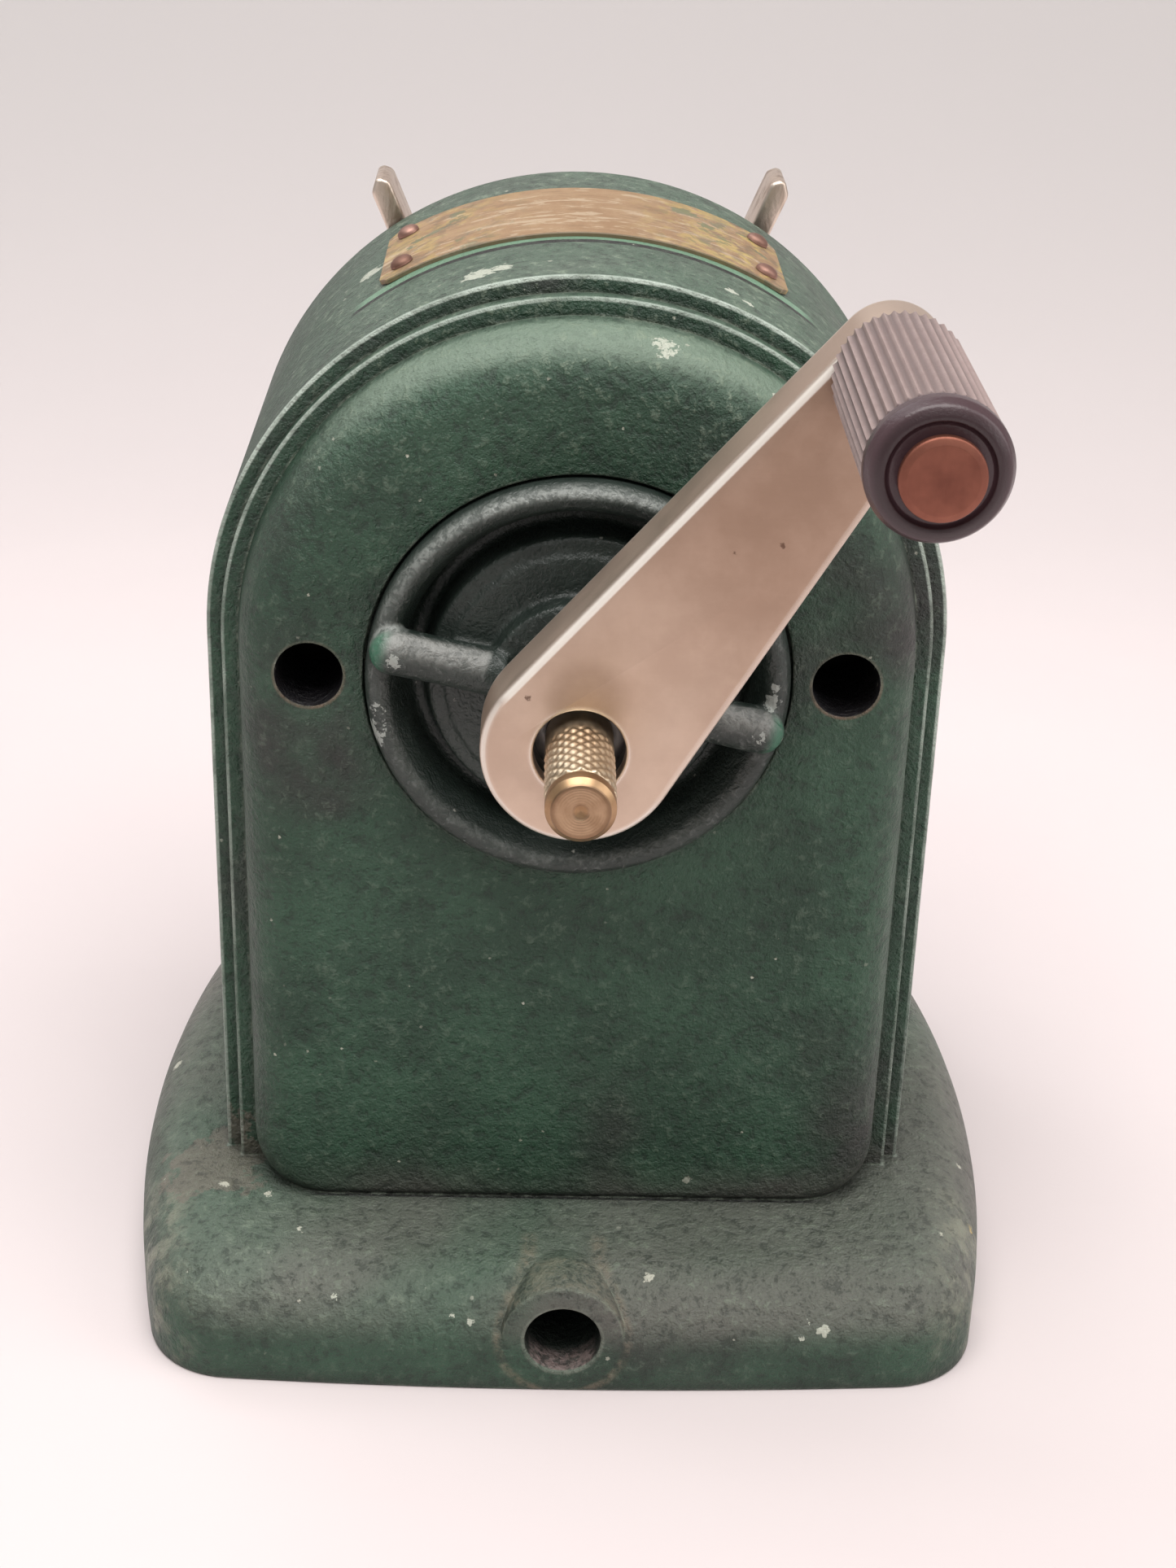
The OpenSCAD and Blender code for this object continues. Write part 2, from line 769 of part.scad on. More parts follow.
// Yoke that carries the cutter round the pencil
module cutter_carrier() {
    front_end = shaft_back_y + carrier_front_t;
    back_end = carrier_back_y + carrier_back_t;
    bar_len = carrier_back_y - front_end + 2 * cut;
    color(steel) difference() {
        union() {
            bar_y(0, axis_z, carrier_front_r, shaft_back_y, front_end);
            bar_y(0, axis_z, carrier_back_r, carrier_back_y, back_end);
            for (a = carrier_bar_angles) translate([0, 0, axis_z]) toward_crank(carrier_back_y + cut)
                rotate([0, 0, a - carrier_bar_arc / 2]) rotate_extrude(angle = carrier_bar_arc)
                    translate([carrier_bar_r, 0]) square([carrier_bar_t, bar_len]);
        }
        bar_y(0, axis_z, spigot_r, shaft_back_y - cut, front_end - cut);
        bar_y(0, axis_z, stop_r + stop_play, shaft_back_y, front_end + cut);
        bar_y(0, axis_z, pencil_r + 0.4, carrier_back_y - cut, back_end + cut);
        on_cutter(axle_start) cylinder(r = cutter_axle_r, h = 4);
        on_cutter(cutter_end + 0.5) cylinder(r = journal_r + running, h = 6);
    }
}

module cutter_axle() {
    color(steel) on_cutter(axle_start)
        cylinder(r = cutter_axle_r, h = pinion_s + pinion_w / 2 + 0.2 - axle_start);
}

module axle_nut() {
    color(brass) on_cutter(axle_nut_start) difference() {
        cylinder(r = axle_nut_r, h = axle_nut_t);
        translate([0, 0, -cut]) cylinder(r = cutter_axle_r, h = axle_nut_t + 2 * cut);
    }
}

// Corners of one saw-shaped cutting edge: depth below the cutter's radius, share of the pitch
cutter_edge = [[0, 0], [cutter_tooth_h, 0.25], [cutter_tooth_h, 0.7]];

// Outline of the cutter
function cutter_outline() = [
    for (i = [0:cutter_teeth - 1]) for (c = cutter_edge)
        let (r = cutter_r - c[0], a = (i + c[1]) * 360 / cutter_teeth) [r * cos(a), r * sin(a)]
];

module milling_cutter() {
    journal_end = pinion_s + pinion_w / 2;
    color(steel) difference() {
        union() {
            on_cutter(cutter_start)
                linear_extrude(cutter_end - cutter_start, twist = cutter_twist, slices = 10)
                    polygon(cutter_outline());
            on_cutter(cutter_end - cut) cylinder(r = journal_r, h = journal_end - cutter_end + cut);
        }
        on_cutter(cutter_start - cut) cylinder(r = cutter_axle_r + running, h = 40);
    }
}

module cutter_pinion() {
    p = pitch_r(pinion_n);
    outline = gear_outline(pinion_n, p - tooth_root, p + tooth_tip, tooth_w + tooth_taper,
        tooth_w - tooth_taper, 90);
    color(brass) difference() {
        on_cutter(pinion_s - pinion_w / 2) linear_extrude(pinion_w) polygon(outline);
        on_cutter(pinion_s - pinion_w) cylinder(r = journal_r, h = 2 * pinion_w);
    }
}

// Shouldered rivet that the knob turns on
module knob_rivet() {
    color(copper) on_crank(arm_y + arm_depth) translate([crank_throw, 0, 0]) {
        translate([0, 0, 0.2]) cylinder(r = rivet_back_r, h = 1.4);
        cylinder(r = axle_rivet_r, h = arm_depth + knob_len + 0.9);
        translate([0, 0, arm_depth + knob_len + 0.4]) cylinder(r = rivet_head_r, h = 1);
    }
}

function knob_flutes(n, r, depth) = [
    for (i = [0:n - 1]) for (k = [0, 1, 2, 3])
        let (a = (i + k / 4) * 360 / n, q = r - [0, 0.5, 1, 0.5][k] * depth) [q * cos(a), q * sin(a)]
];

// Fluted grip with a smooth rounded lip
module knob() {
    lip = 3;
    color(bakelite) on_crank(arm_y) translate([crank_throw, 0, 0]) difference() {
        union() {
            translate([0, 0, 0.2]) linear_extrude(knob_len - lip - 0.2)
                polygon(knob_flutes(knob_flute_n, knob_r - 0.05, knob_flute_depth));
            translate([0, 0, knob_len - lip]) rotate_extrude()
                polygon([[0, 0], [knob_r - 0.3, 0], [knob_r, 0.8], [knob_r - 0.1, 1.7], [knob_r - 0.6, 2.6],
                    [knob_face_r, lip], [0, lip]]);
        }
        translate([0, 0, -cut]) cylinder(r = axle_rivet_r + running, h = knob_len + 2 * cut);
    }
}

// Captive screw: a knurled head outside, a threaded stem inside the shaft
module adjusting_screw() {
    stem_flange_y = nut_y + nut_t + 0.1;
    color(brass) {
        bar_y(0, axis_z, adjust_r - 0.35, adjust_end_y, adjust_end_y + 0.4);
        bar_y(0, axis_z, adjust_r, adjust_end_y + 0.4, adjust_end_y + 2.6);
        bar_y(0, axis_z, adjust_r - 0.25, adjust_end_y + 2.6, adjust_end_y + 3);
        bar_y(0, axis_z, adjust_r - 0.05, adjust_end_y + 3, nut_y - 0.3);
        bar_y(0, axis_z, adjust_stem_r, nut_y - 0.4, adjust_stem_y);
        bar_y(0, axis_z, adjust_flange_r, stem_flange_y, stem_flange_y + 1.2);
    }
}

// Keyed rod that the adjusting screw drives: the pencil's tip stops against its half-round nose
module point_stop() {
    color(steel) difference() {
        union() {
            bar_y(0, axis_z, shaft_bore_r - 0.08, sleeve_y0, sleeve_y1);
            bar_y(0, axis_z, stop_r, sleeve_y1 - cut, stop_end_y);
        }
        bar_y(0, axis_z, adjust_stem_r + running, sleeve_y0 - cut, adjust_stem_y + 1.5);
        translate([-stop_r - cut, stop_nose_y, axis_z - stop_nose_drop])
            cube([2 * (stop_r + cut), stop_end_y - stop_nose_y + cut, 2 * stop_r]);
    }
}

// Back outline of the carriage: a wide bar for the rods under an arched head for the levers
module carriage_plate() {
    y1 = carriage_y + carriage_t;
    color(green) difference() {
        union() {
            bar_y(0, head_z, head_r, carriage_y, y1);
            translate([-head_r, carriage_y, head_foot_z])
                cube([2 * head_r, carriage_t, head_z - head_foot_z]);
            for (s = [-1, 1]) bar_y(s * rod_x, axis_z, carriage_half_w - rod_x, carriage_y, y1);
            translate([-rod_x, carriage_y, axis_z - carriage_half_w + rod_x])
                cube([2 * rod_x, carriage_t, 2 * (carriage_half_w - rod_x)]);
            bar_y(0, peg_z, peg_r, carriage_y, lever_plate_y - 0.1);
        }
        bar_y(0, axis_z, guide_r, carriage_y - cut, y1 + cut);
        for (s = [-1, 1]) {
            bar_y(s * rod_x, axis_z, rod_r, carriage_y - cut, y1 + cut);
            bar_y(s * pin_x, pin_z, pin_r, carriage_y + 1, y1 + cut);
        }
    }
}

module guide_rods() {
    color(steel) for (s = [-1, 1])
        bar_y(s * rod_x, axis_z, rod_r, collar_y + 1, carriage_y + carriage_t + rod_nut_t + 0.8);
}

// Collars on the rods' inner ends: they slide in the housing's bores and press the springs
module rod_collars() {
    color(brass) for (s = [-1, 1]) difference() {
        bar_y(s * rod_x, axis_z, collar_r, collar_y, collar_y + collar_t);
        bar_y(s * rod_x, axis_z, rod_r, collar_y + 1, collar_y + collar_t + cut);
    }
}

module rod_nuts() {
    y1 = carriage_y + carriage_t;
    color(nickel) for (s = [-1, 1]) difference() {
        translate([s * rod_x, y1, axis_z]) rotate([-90, 0, 0])
            cylinder(r = rod_nut_r, h = rod_nut_t, $fn = 6);
        bar_y(s * rod_x, axis_z, rod_r, y1 - cut, y1 + rod_nut_t + cut);
    }
}

// Centre of the wire at step i of the coil
function coil_point(i, length) =
    let (a = 360 * i / spring_steps, rise = (length - 2 * spring_wire) / (spring_turns * spring_steps))
        [spring_r * cos(a), spring_r * sin(a), spring_wire + i * rise];

// A ring of points round the wire at step i of the coil
function coil_ring(i, length) =
    let (c = coil_point(i, length), a = 360 * i / spring_steps)
        [for (k = [0:spring_sides - 1])
            let (b = 360 * k / spring_sides)
                c + spring_wire * [cos(b) * cos(a), cos(b) * sin(a), sin(b)]];

// A coil spring that stands on z = 0
module coil(length) {
    n = spring_turns * spring_steps;
    m = spring_sides;
    points = [for (i = [0:n]) each coil_ring(i, length)];
    sides = [for (i = [0:n - 1]) for (k = [0:m - 1])
        [i * m + k, (i + 1) * m + k, (i + 1) * m + (k + 1) % m, i * m + (k + 1) % m]];
    polyhedron(points, concat(sides, [[for (k = [0:m - 1]) k]], [[for (k = [m - 1:-1:0]) n * m + k]]));
}

module feed_springs() {
    y0 = collar_y + collar_t;
    color(steel) for (s = [-1, 1])
        translate([s * rod_x, 0, axis_z]) toward_pencil(y0 + 0.1) coil(cover_y - y0 - 0.2);
}

module lever_pins() {
    color(steel) for (s = [-1, 1])
        bar_y(s * pin_x, pin_z, pin_r, carriage_y + 1, lever_plate_y + lever_plate_t + clip_t + 0.4);
}

// Plate over the levers, on their pins, with a round hole for the pencil
module lever_plate() {
    y1 = lever_plate_y + lever_plate_t;
    color(nickel) difference() {
        union() {
            bar_y(0, axis_z, plate_eye_r, lever_plate_y, y1);
            for (s = [-1, 1]) bar_y(s * pin_x, pin_z, plate_lug_r, lever_plate_y, y1);
            translate([-plate_eye_r, lever_plate_y, axis_z])
                cube([2 * plate_eye_r, lever_plate_t, pin_z - axis_z]);
            translate([-pin_x, lever_plate_y, pin_z - plate_lug_r])
                cube([2 * pin_x, lever_plate_t, 2 * plate_lug_r]);
        }
        bar_y(0, axis_z, guide_r, lever_plate_y - cut, y1 + cut);
        for (s = [-1, 1]) bar_y(s * pin_x, pin_z, pin_r, lever_plate_y - cut, y1 + cut);
    }
}

module pin_clips() {
    y0 = lever_plate_y + lever_plate_t;
    color(steel) for (s = [-1, 1]) difference() {
        bar_y(s * pin_x, pin_z, clip_r, y0, y0 + clip_t);
        bar_y(s * pin_x, pin_z, pin_r, y0 - cut, y0 + clip_t + cut);
    }
}

// Torsion spring round a peg of the carriage: each leg pushes one lever's upper end outward
module lever_spring() {
    w = lever_wire / 2;
    leg_ys = [right_y + 0.8, left_y + 0.9];
    color(steel) {
        difference() {
            bar_y(0, peg_z, lever_coil_r + w, leg_ys[0] - w, leg_ys[1] + w);
            bar_y(0, peg_z, lever_coil_r - w, leg_ys[0] - 1, leg_ys[1] + 1);
        }
        for (s = [0, 1]) translate([0, leg_ys[s], peg_z - lever_coil_r]) rotate([0, s > 0 ? -90 : 90, 0])
            cylinder(r = w - 0.05, h = lever_leg);
    }
}

// A lever in its own plane: from the jaw's foot up past the pin to the tab
module lever_arm(side, y) {
    lean = lever_lean * side;
    reach = (tab_z - pin_z) / cos(lever_lean);
    foot = [side * lever_foot_x, lever_base_h];
    foot_angle = atan2(side * (pin_x - lever_foot_x), pin_z - lever_base_h);
    difference() {
        union() {
            bar_y(side * pin_x, pin_z, lever_eye_r, y, y + lever_t);
            translate([side * pin_x, y, pin_z]) rotate([0, lean, 0])
                translate([-lever_half_w, 0, 0]) cube([2 * lever_half_w, lever_t, reach - tab_len + 2]);
            translate([side * pin_x, y, pin_z]) rotate([0, 180 + foot_angle, 0])
                translate([-lever_half_w, 0, 0])
                    cube([2 * lever_half_w, lever_t, (pin_z - lever_base_h) / cos(foot_angle)]);
            bar_y(foot[0], foot[1], lever_half_w, y, y + lever_t);
        }
        bar_y(side * pin_x, pin_z, pin_r + running, y - cut, y + lever_t + cut);
        for (z = jaw_rivet_zs)
            bar_y(side * lever_foot_x, z, jaw_rivet_r + screw_play, y - cut, y + lever_t + cut);
    }
}

// Finger tab at the top of a lever: the sheet turned at right angles, with round top corners
module finger_tab(side, y0, y1) {
    w = y1 - y0;
    translate([side * tab_x, y0, tab_z]) rotate([0, side * tab_tilt, 0])
        translate([-tab_t / 2, 0, -tab_len]) {
            cube([tab_t, w, tab_len - tab_round]);
            translate([0, tab_round, 0]) cube([tab_t, w - 2 * tab_round, tab_len]);
            for (y = [tab_round, w - tab_round]) translate([0, y, tab_len - tab_round])
                rotate([0, 90, 0]) cylinder(r = tab_round, h = tab_t);
        }
}

module left_lever() {
    color(nickel) {
        lever_arm(-1, left_y);
        finger_tab(-1, left_y + lever_t - tab_w, left_y + lever_t + play);
    }
}

module right_lever() {
    color(nickel) {
        lever_arm(1, right_y);
        finger_tab(1, right_y - play, right_y + tab_w);
    }
}

// Toothed V block that grips the pencil, beside the lever's foot
module jaw(side, y0, y1) {
    vee = 2 * jaw_x * sin(45);
    translate([0, 0, axis_z]) difference() {
        translate([side > 0 ? jaw_face_gap : -jaw_face_gap - jaw_w, y0, -jaw_h / 2])
            cube([jaw_w, y1 - y0, jaw_h]);
        translate([0, y0 - cut, 0]) rotate([0, 45, 0])
            cube([vee, 2 * (y1 - y0 + 2 * cut), vee], center = true);
        for (z = jaw_rivet_zs)
            bar_y(side * lever_foot_x, z - axis_z, jaw_rivet_r + screw_play, y0 - cut, y1 + cut);
    }
}

module left_jaw() {
    color(steel) jaw(-1, right_y, left_y);
}

module right_jaw() {
    color(steel) jaw(1, right_y + lever_t, jaw_y1);
}

// Two short rivets that hold a jaw on its lever
module jaw_rivets(side) {
    color(steel) for (z = jaw_rivet_zs)
        bar_y(side * lever_foot_x, z, jaw_rivet_r, right_y + screw_play, jaw_y1 - screw_play);
}

module jaw_rivets_left() {
    jaw_rivets(-1);
}

module jaw_rivets_right() {
    jaw_rivets(1);
}

// Open-topped tray of folded sheet
module drawer_tray() {
    z0 = base_h + tray_gap;
    w = drawer_half_w;
    color(steel) difference() {
        translate([-w, tray_y0, z0]) cube([2 * w, back_y + tray_gap - tray_y0, drawer_h]);
        translate([-w + tray_wall, tray_y0 + tray_wall, z0 + tray_wall])
            cube([2 * (w - tray_wall), back_y + tray_gap - tray_y0 - 2 * tray_wall, drawer_h]);
        bar_y(0, z0 + drawer_h / 2, screw_r, back_y - 3, back_y + 2);
    }
}

module drawer_front() {
    z0 = base_h + tray_gap;
    w = drawer_half_w + front_plate_lip;
    y0 = back_y + tray_gap;
    color(green) difference() {
        translate([-w, y0, z0]) cube([2 * w, front_plate_t, drawer_h + front_plate_lip]);
        bar_y(0, z0 + drawer_h / 2, screw_r, y0 - cut, y0 + front_plate_t + cut);
    }
}

module drawer_knob() {
    y0 = back_y + tray_gap + front_plate_t;
    color(nickel) translate([0, 0, base_h + tray_gap + drawer_h / 2]) difference() {
        toward_pencil(y0) rotate_extrude()
            polygon([[0, 0], [3.4, 0], [2.6, 2.6], [drawer_knob_r - 0.8, 4.6], [drawer_knob_r, 5.8],
                [drawer_knob_r - 0.6, 7.2], [2.5, drawer_knob_len], [0, drawer_knob_len]]);
        bar_y(0, 0, screw_r, y0 - cut, y0 + 5);
    }
}

module drawer_screw() {
    z = base_h + tray_gap + drawer_h / 2;
    y0 = back_y + tray_gap - tray_wall;
    color(steel) {
        bar_y(0, z, screw_r - screw_play, y0 - 0.1, back_y + tray_gap + front_plate_t + 4.6);
        bar_y(0, z, 3, y0 - 1.4, y0);
    }
}

housing();
base();
clamp_socket();
nameplate();
nameplate_rivets();
rear_cover();
cover_screws();
pencil_guide();
rod_bushes();
ring_gear();
gear_screws();
bearing_cap();
cap_bush();
crank_arm();
crank_hub();
hub_screw();
hollow_shaft();
retaining_nut();
cutter_carrier();
cutter_axle();
axle_nut();
knob_rivet();
knob();
milling_cutter();
cutter_pinion();
adjusting_screw();
point_stop();
carriage_plate();
guide_rods();
rod_collars();
rod_nuts();
feed_springs();
lever_pins();
lever_plate();
pin_clips();
lever_spring();
left_lever();
left_jaw();
right_lever();
right_jaw();
jaw_rivets_left();
jaw_rivets_right();
drawer_tray();
drawer_front();
drawer_knob();
drawer_screw();
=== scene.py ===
"""Looks for the hand-cranked desk pencil sharpener. Metres, in the CAD frame: +Z up, the crank at -Y."""

import json
import math

import bmesh
import bpy
from mathutils import Matrix, Vector


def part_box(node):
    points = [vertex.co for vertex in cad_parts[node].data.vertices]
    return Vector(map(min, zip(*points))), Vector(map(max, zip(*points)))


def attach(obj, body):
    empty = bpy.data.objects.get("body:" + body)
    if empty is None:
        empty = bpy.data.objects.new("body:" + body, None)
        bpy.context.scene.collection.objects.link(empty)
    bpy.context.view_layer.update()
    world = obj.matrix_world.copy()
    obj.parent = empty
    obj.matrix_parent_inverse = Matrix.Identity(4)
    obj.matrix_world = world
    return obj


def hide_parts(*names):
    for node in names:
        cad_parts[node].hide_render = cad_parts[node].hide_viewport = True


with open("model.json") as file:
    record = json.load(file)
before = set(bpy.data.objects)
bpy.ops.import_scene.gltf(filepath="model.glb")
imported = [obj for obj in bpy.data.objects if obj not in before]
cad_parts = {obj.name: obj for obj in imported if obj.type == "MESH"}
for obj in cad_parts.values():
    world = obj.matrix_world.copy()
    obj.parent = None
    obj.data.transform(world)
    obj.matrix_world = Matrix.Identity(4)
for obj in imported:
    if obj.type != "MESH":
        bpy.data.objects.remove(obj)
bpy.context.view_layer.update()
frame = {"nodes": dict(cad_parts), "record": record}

MM = 0.001

# Places read from the frame
HOUSING_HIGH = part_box("housing")[1]
COVER_LOW, COVER_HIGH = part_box("rear_cover")
SHAFT_LOW, SHAFT_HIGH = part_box("hollow_shaft")
ARM_LOW, ARM_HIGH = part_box("crank_arm")
KNOB_LOW, KNOB_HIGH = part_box("knob")
AXIS_Z = (SHAFT_LOW.z + SHAFT_HIGH.z) / 2
BACK_Y = COVER_HIGH.y
ROD_R = 2.0 * MM
ROD_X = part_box("guide_rods")[1].x - ROD_R

# Housing, measured from its outer edge
ARCH_R = 41.0 * MM
ARCH_Z = HOUSING_HIGH.z - ARCH_R
FRONT_Y = -18.0 * MM
RIDGE_INSET = 1.8 * MM
RIDGE_Y = FRONT_Y - 2.0 * MM
PANEL_INSET = 3.7 * MM
PANEL_Y = FRONT_Y - 10.0 * MM
PANEL_ROUND = 5.5 * MM
PANEL_DRAFT = 0.4 * MM
WALL = 3.5 * MM
FOOT_Z = 9.0 * MM
PANEL_FOOT_Z = 11.4 * MM

# Base
BASE_H = 13.3 * MM
BASE_HALF_W = 52.7 * MM
BASE_HALF_D = 47.0 * MM
BASE_SIDE_R = 158.0 * MM
BASE_END_R = 600.0 * MM
BASE_CORNER = 10.5 * MM
BASE_ROUND = 8.0 * MM
CLAMP_R = 4.3 * MM
CLAMP_Z = 7.1 * MM
CLAMP_DEPTH = 32.0 * MM
BOSS_R = 7.1 * MM

# Nameplate: bent on a flatter arc than the housing
PLATE_LOW, PLATE_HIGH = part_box("nameplate")
PLATE_T = 0.5 * MM
BED_FRONT = 2.3 * MM
PLATE_R = 43.4 * MM
PLATE_ZC = PLATE_HIGH.z - PLATE_T - PLATE_R

# Bores and cap
ROD_BORE_R = 3.64 * MM
SCREW_R = 3.6 * MM
SCREW_FRONT_Y = -42.3 * MM
SCREW_TIP_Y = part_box("adjusting_screw")[0].y
CAP_R = 22.8 * MM
SEAT_R = 23.1 * MM
HATCH_R = 21.5 * MM
CAP_FACE_Y = PANEL_Y - 2.3 * MM
TUBE_R = 5.6 * MM
LUG_R = 3.6 * MM
LUGS = [(-22, 108.5), (22, 108.5), (-34, 56), (34, 56)]

# Crank
ARM_Y = ARM_LOW.y
ARM_BACK_Y = ARM_HIGH.y
HUB_R = 10.1 * MM
TIP_R = 5.4 * MM
KNOB_R = 6.45 * MM
KNOB_AXIS = Vector(((KNOB_LOW.x + KNOB_HIGH.x) / 2, 0, (KNOB_LOW.z + KNOB_HIGH.z) / 2))
CRANK_THROW = (KNOB_AXIS - Vector((0, 0, AXIS_Z))).length
CRANK_ANGLE = math.atan2(KNOB_AXIS.z - AXIS_Z, KNOB_AXIS.x)


# ---- Mesh helpers ----

def add_object(name, data):
    """A new object in the scene."""
    obj = bpy.data.objects.new(name, data)
    bpy.context.scene.collection.objects.link(obj)
    return obj


def mesh_object(name, verts, faces, sharp=35.0):
    """A mesh object with outward normals, smooth except at edges sharper than that many degrees."""
    mesh = bpy.data.meshes.new(name)
    mesh.from_pydata([tuple(v) for v in verts], [], faces)
    bm = bmesh.new()
    bm.from_mesh(mesh)
    bmesh.ops.remove_doubles(bm, verts=bm.verts, dist=1e-7)
    bmesh.ops.recalc_face_normals(bm, faces=bm.faces)
    bm.to_mesh(mesh)
    bm.free()
    obj = add_object(name, mesh)
    shade(obj, sharp)
    return obj


def shade(obj, sharp=35.0):
    """Smooth shading, except at edges sharper than that many degrees."""
    obj.data.shade_smooth()
    obj.data.set_sharp_from_angle(angle=math.radians(sharp))


def loft(name, loops, sharp=35.0):
    """A closed solid through loops of equal length, with a flat cap at each end."""
    n = len(loops[0])
    verts = [p for loop in loops for p in loop]
    faces = []
    for i in range(len(loops) - 1):
        for k in range(n):
            a, b = i * n + k, i * n + (k + 1) % n
            faces.append((a, b, b + n, a + n))
    faces.append(tuple(range(n)))
    last = (len(loops) - 1) * n
    faces.append(tuple(range(last, last + n)))
    return mesh_object(name, verts, faces, sharp)


def arc(cx, cy, r, start, end, steps):
    """Points along an arc, angles in degrees, ends included."""
    points = []
    for i in range(steps + 1):
        a = math.radians(start + (end - start) * i / steps)
        points.append((cx + r * math.cos(a), cy + r * math.sin(a)))
    return points


def millimetres(rows, across=0.0, along=0.0):
    """Rows of (across, along) in millimetres, some with a rounding radius, as metres from an origin."""
    return [(across + row[0] * MM, along + row[1] * MM, *(r * MM for r in row[2:])) for row in rows]


def rounded(points, steps=5):
    """A polyline of (x, y, radius) with each inner corner rounded by an arc-like curve."""
    out = [points[0][:2]]
    for before, here, after in zip(points, points[1:], points[2:]):
        p, q, s = (Vector(v[:2]) for v in (before, here, after))
        r = here[2] if len(here) > 2 else 0
        if r <= 0:
            out.append(tuple(q))
            continue
        into, away = (p - q), (s - q)
        half = into.angle(away, math.pi) / 2
        reach = min(r / max(math.tan(half), 1e-6), into.length * 0.49, away.length * 0.49)
        a, b = q + into.normalized() * reach, q + away.normalized() * reach
        for i in range(steps + 1):
            t = i / steps
            out.append(tuple(a * (1 - t) ** 2 + q * 2 * t * (1 - t) + b * t * t))
    out.append(points[-1][:2])
    return out


def turned(name, profile, centre, axis="-Y", segments=96, sharp=35.0, shape=None):
    """A turned solid: profile is (radius, distance along the axis) from end to end, centre lies on the axis.
    shape(radius, distance, angle) may change the radius, for flutes and knurls."""
    turn = Vector((0, 0, 1)).rotation_difference(direction(axis)).to_matrix().to_4x4()
    place = Matrix.Translation(centre) @ turn
    loops = []
    for r, d in profile:
        loop = []
        for k in range(segments):
            a = 2 * math.pi * k / segments
            q = shape(r, d, a) if shape else r
            loop.append(place @ Vector((q * math.cos(a), q * math.sin(a), d)))
        loops.append(loop)
    return loft(name, loops, sharp)


def direction(axis):
    """Unit vector of an axis named like -Y."""
    sign = -1 if axis[0] == "-" else 1
    return Vector([sign * float(axis[-1] == c) for c in "XYZ"])


def rod(name, x, z, r, y0, y1, segments=64):
    """A plain cutter or core along Y."""
    return turned(name, [(r, 0), (r, y1 - y0)], Vector((x, y0, z)), "+Y", segments)


def block(name, low, high):
    """A box between two corners."""
    xs, ys, zs = zip(low, high)
    loops = [[(xs[0], ys[0], z), (xs[1], ys[0], z), (xs[1], ys[1], z), (xs[0], ys[1], z)] for z in zs]
    return loft(name, loops)


def combine(target, tools, operation):
    """Applies exact booleans to target and removes the tools."""
    for tool in tools:
        modifier = target.modifiers.new("cut", "BOOLEAN")
        modifier.operation = operation
        modifier.solver = "EXACT"
        modifier.object = tool
    apply_modifiers(target)
    for tool in tools:
        bpy.data.objects.remove(tool)
    return target


def apply_modifiers(obj):
    """Turns the modified shape into the object's own mesh."""
    graph = bpy.context.evaluated_depsgraph_get()
    mesh = bpy.data.meshes.new_from_object(obj.evaluated_get(graph), depsgraph=graph)
    obj.modifiers.clear()
    obj.data = mesh


def tidy_mesh(obj, sharp):
    """Joins points that nearly touch and drops edges and faces without size."""
    merge = 2e-6
    bm = bmesh.new()
    bm.from_mesh(obj.data)
    bmesh.ops.remove_doubles(bm, verts=bm.verts, dist=merge)
    bmesh.ops.dissolve_degenerate(bm, edges=bm.edges, dist=merge)
    bm.to_mesh(obj.data)
    bm.free()
    shade(obj, sharp)


def join(name, objects, sharp=35.0):
    """Joins meshes into one object."""
    bm = bmesh.new()
    for obj in objects:
        bm.from_mesh(obj.data)
    mesh = bpy.data.meshes.new(name)
    bm.to_mesh(mesh)
    bm.free()
    for obj in objects:
        bpy.data.objects.remove(obj)
    joined = add_object(name, mesh)
    shade(joined, sharp)
    return joined


def on_crank(y):
    """Frame of the arm: local X along the arm, local Z towards -Y, from plane y."""
    return (
        Matrix.Translation((0, y, AXIS_Z))
        @ Matrix.Rotation(math.pi / 2, 4, "X")
        @ Matrix.Rotation(CRANK_ANGLE, 4, "Z")
    )


# ---- Materials ----

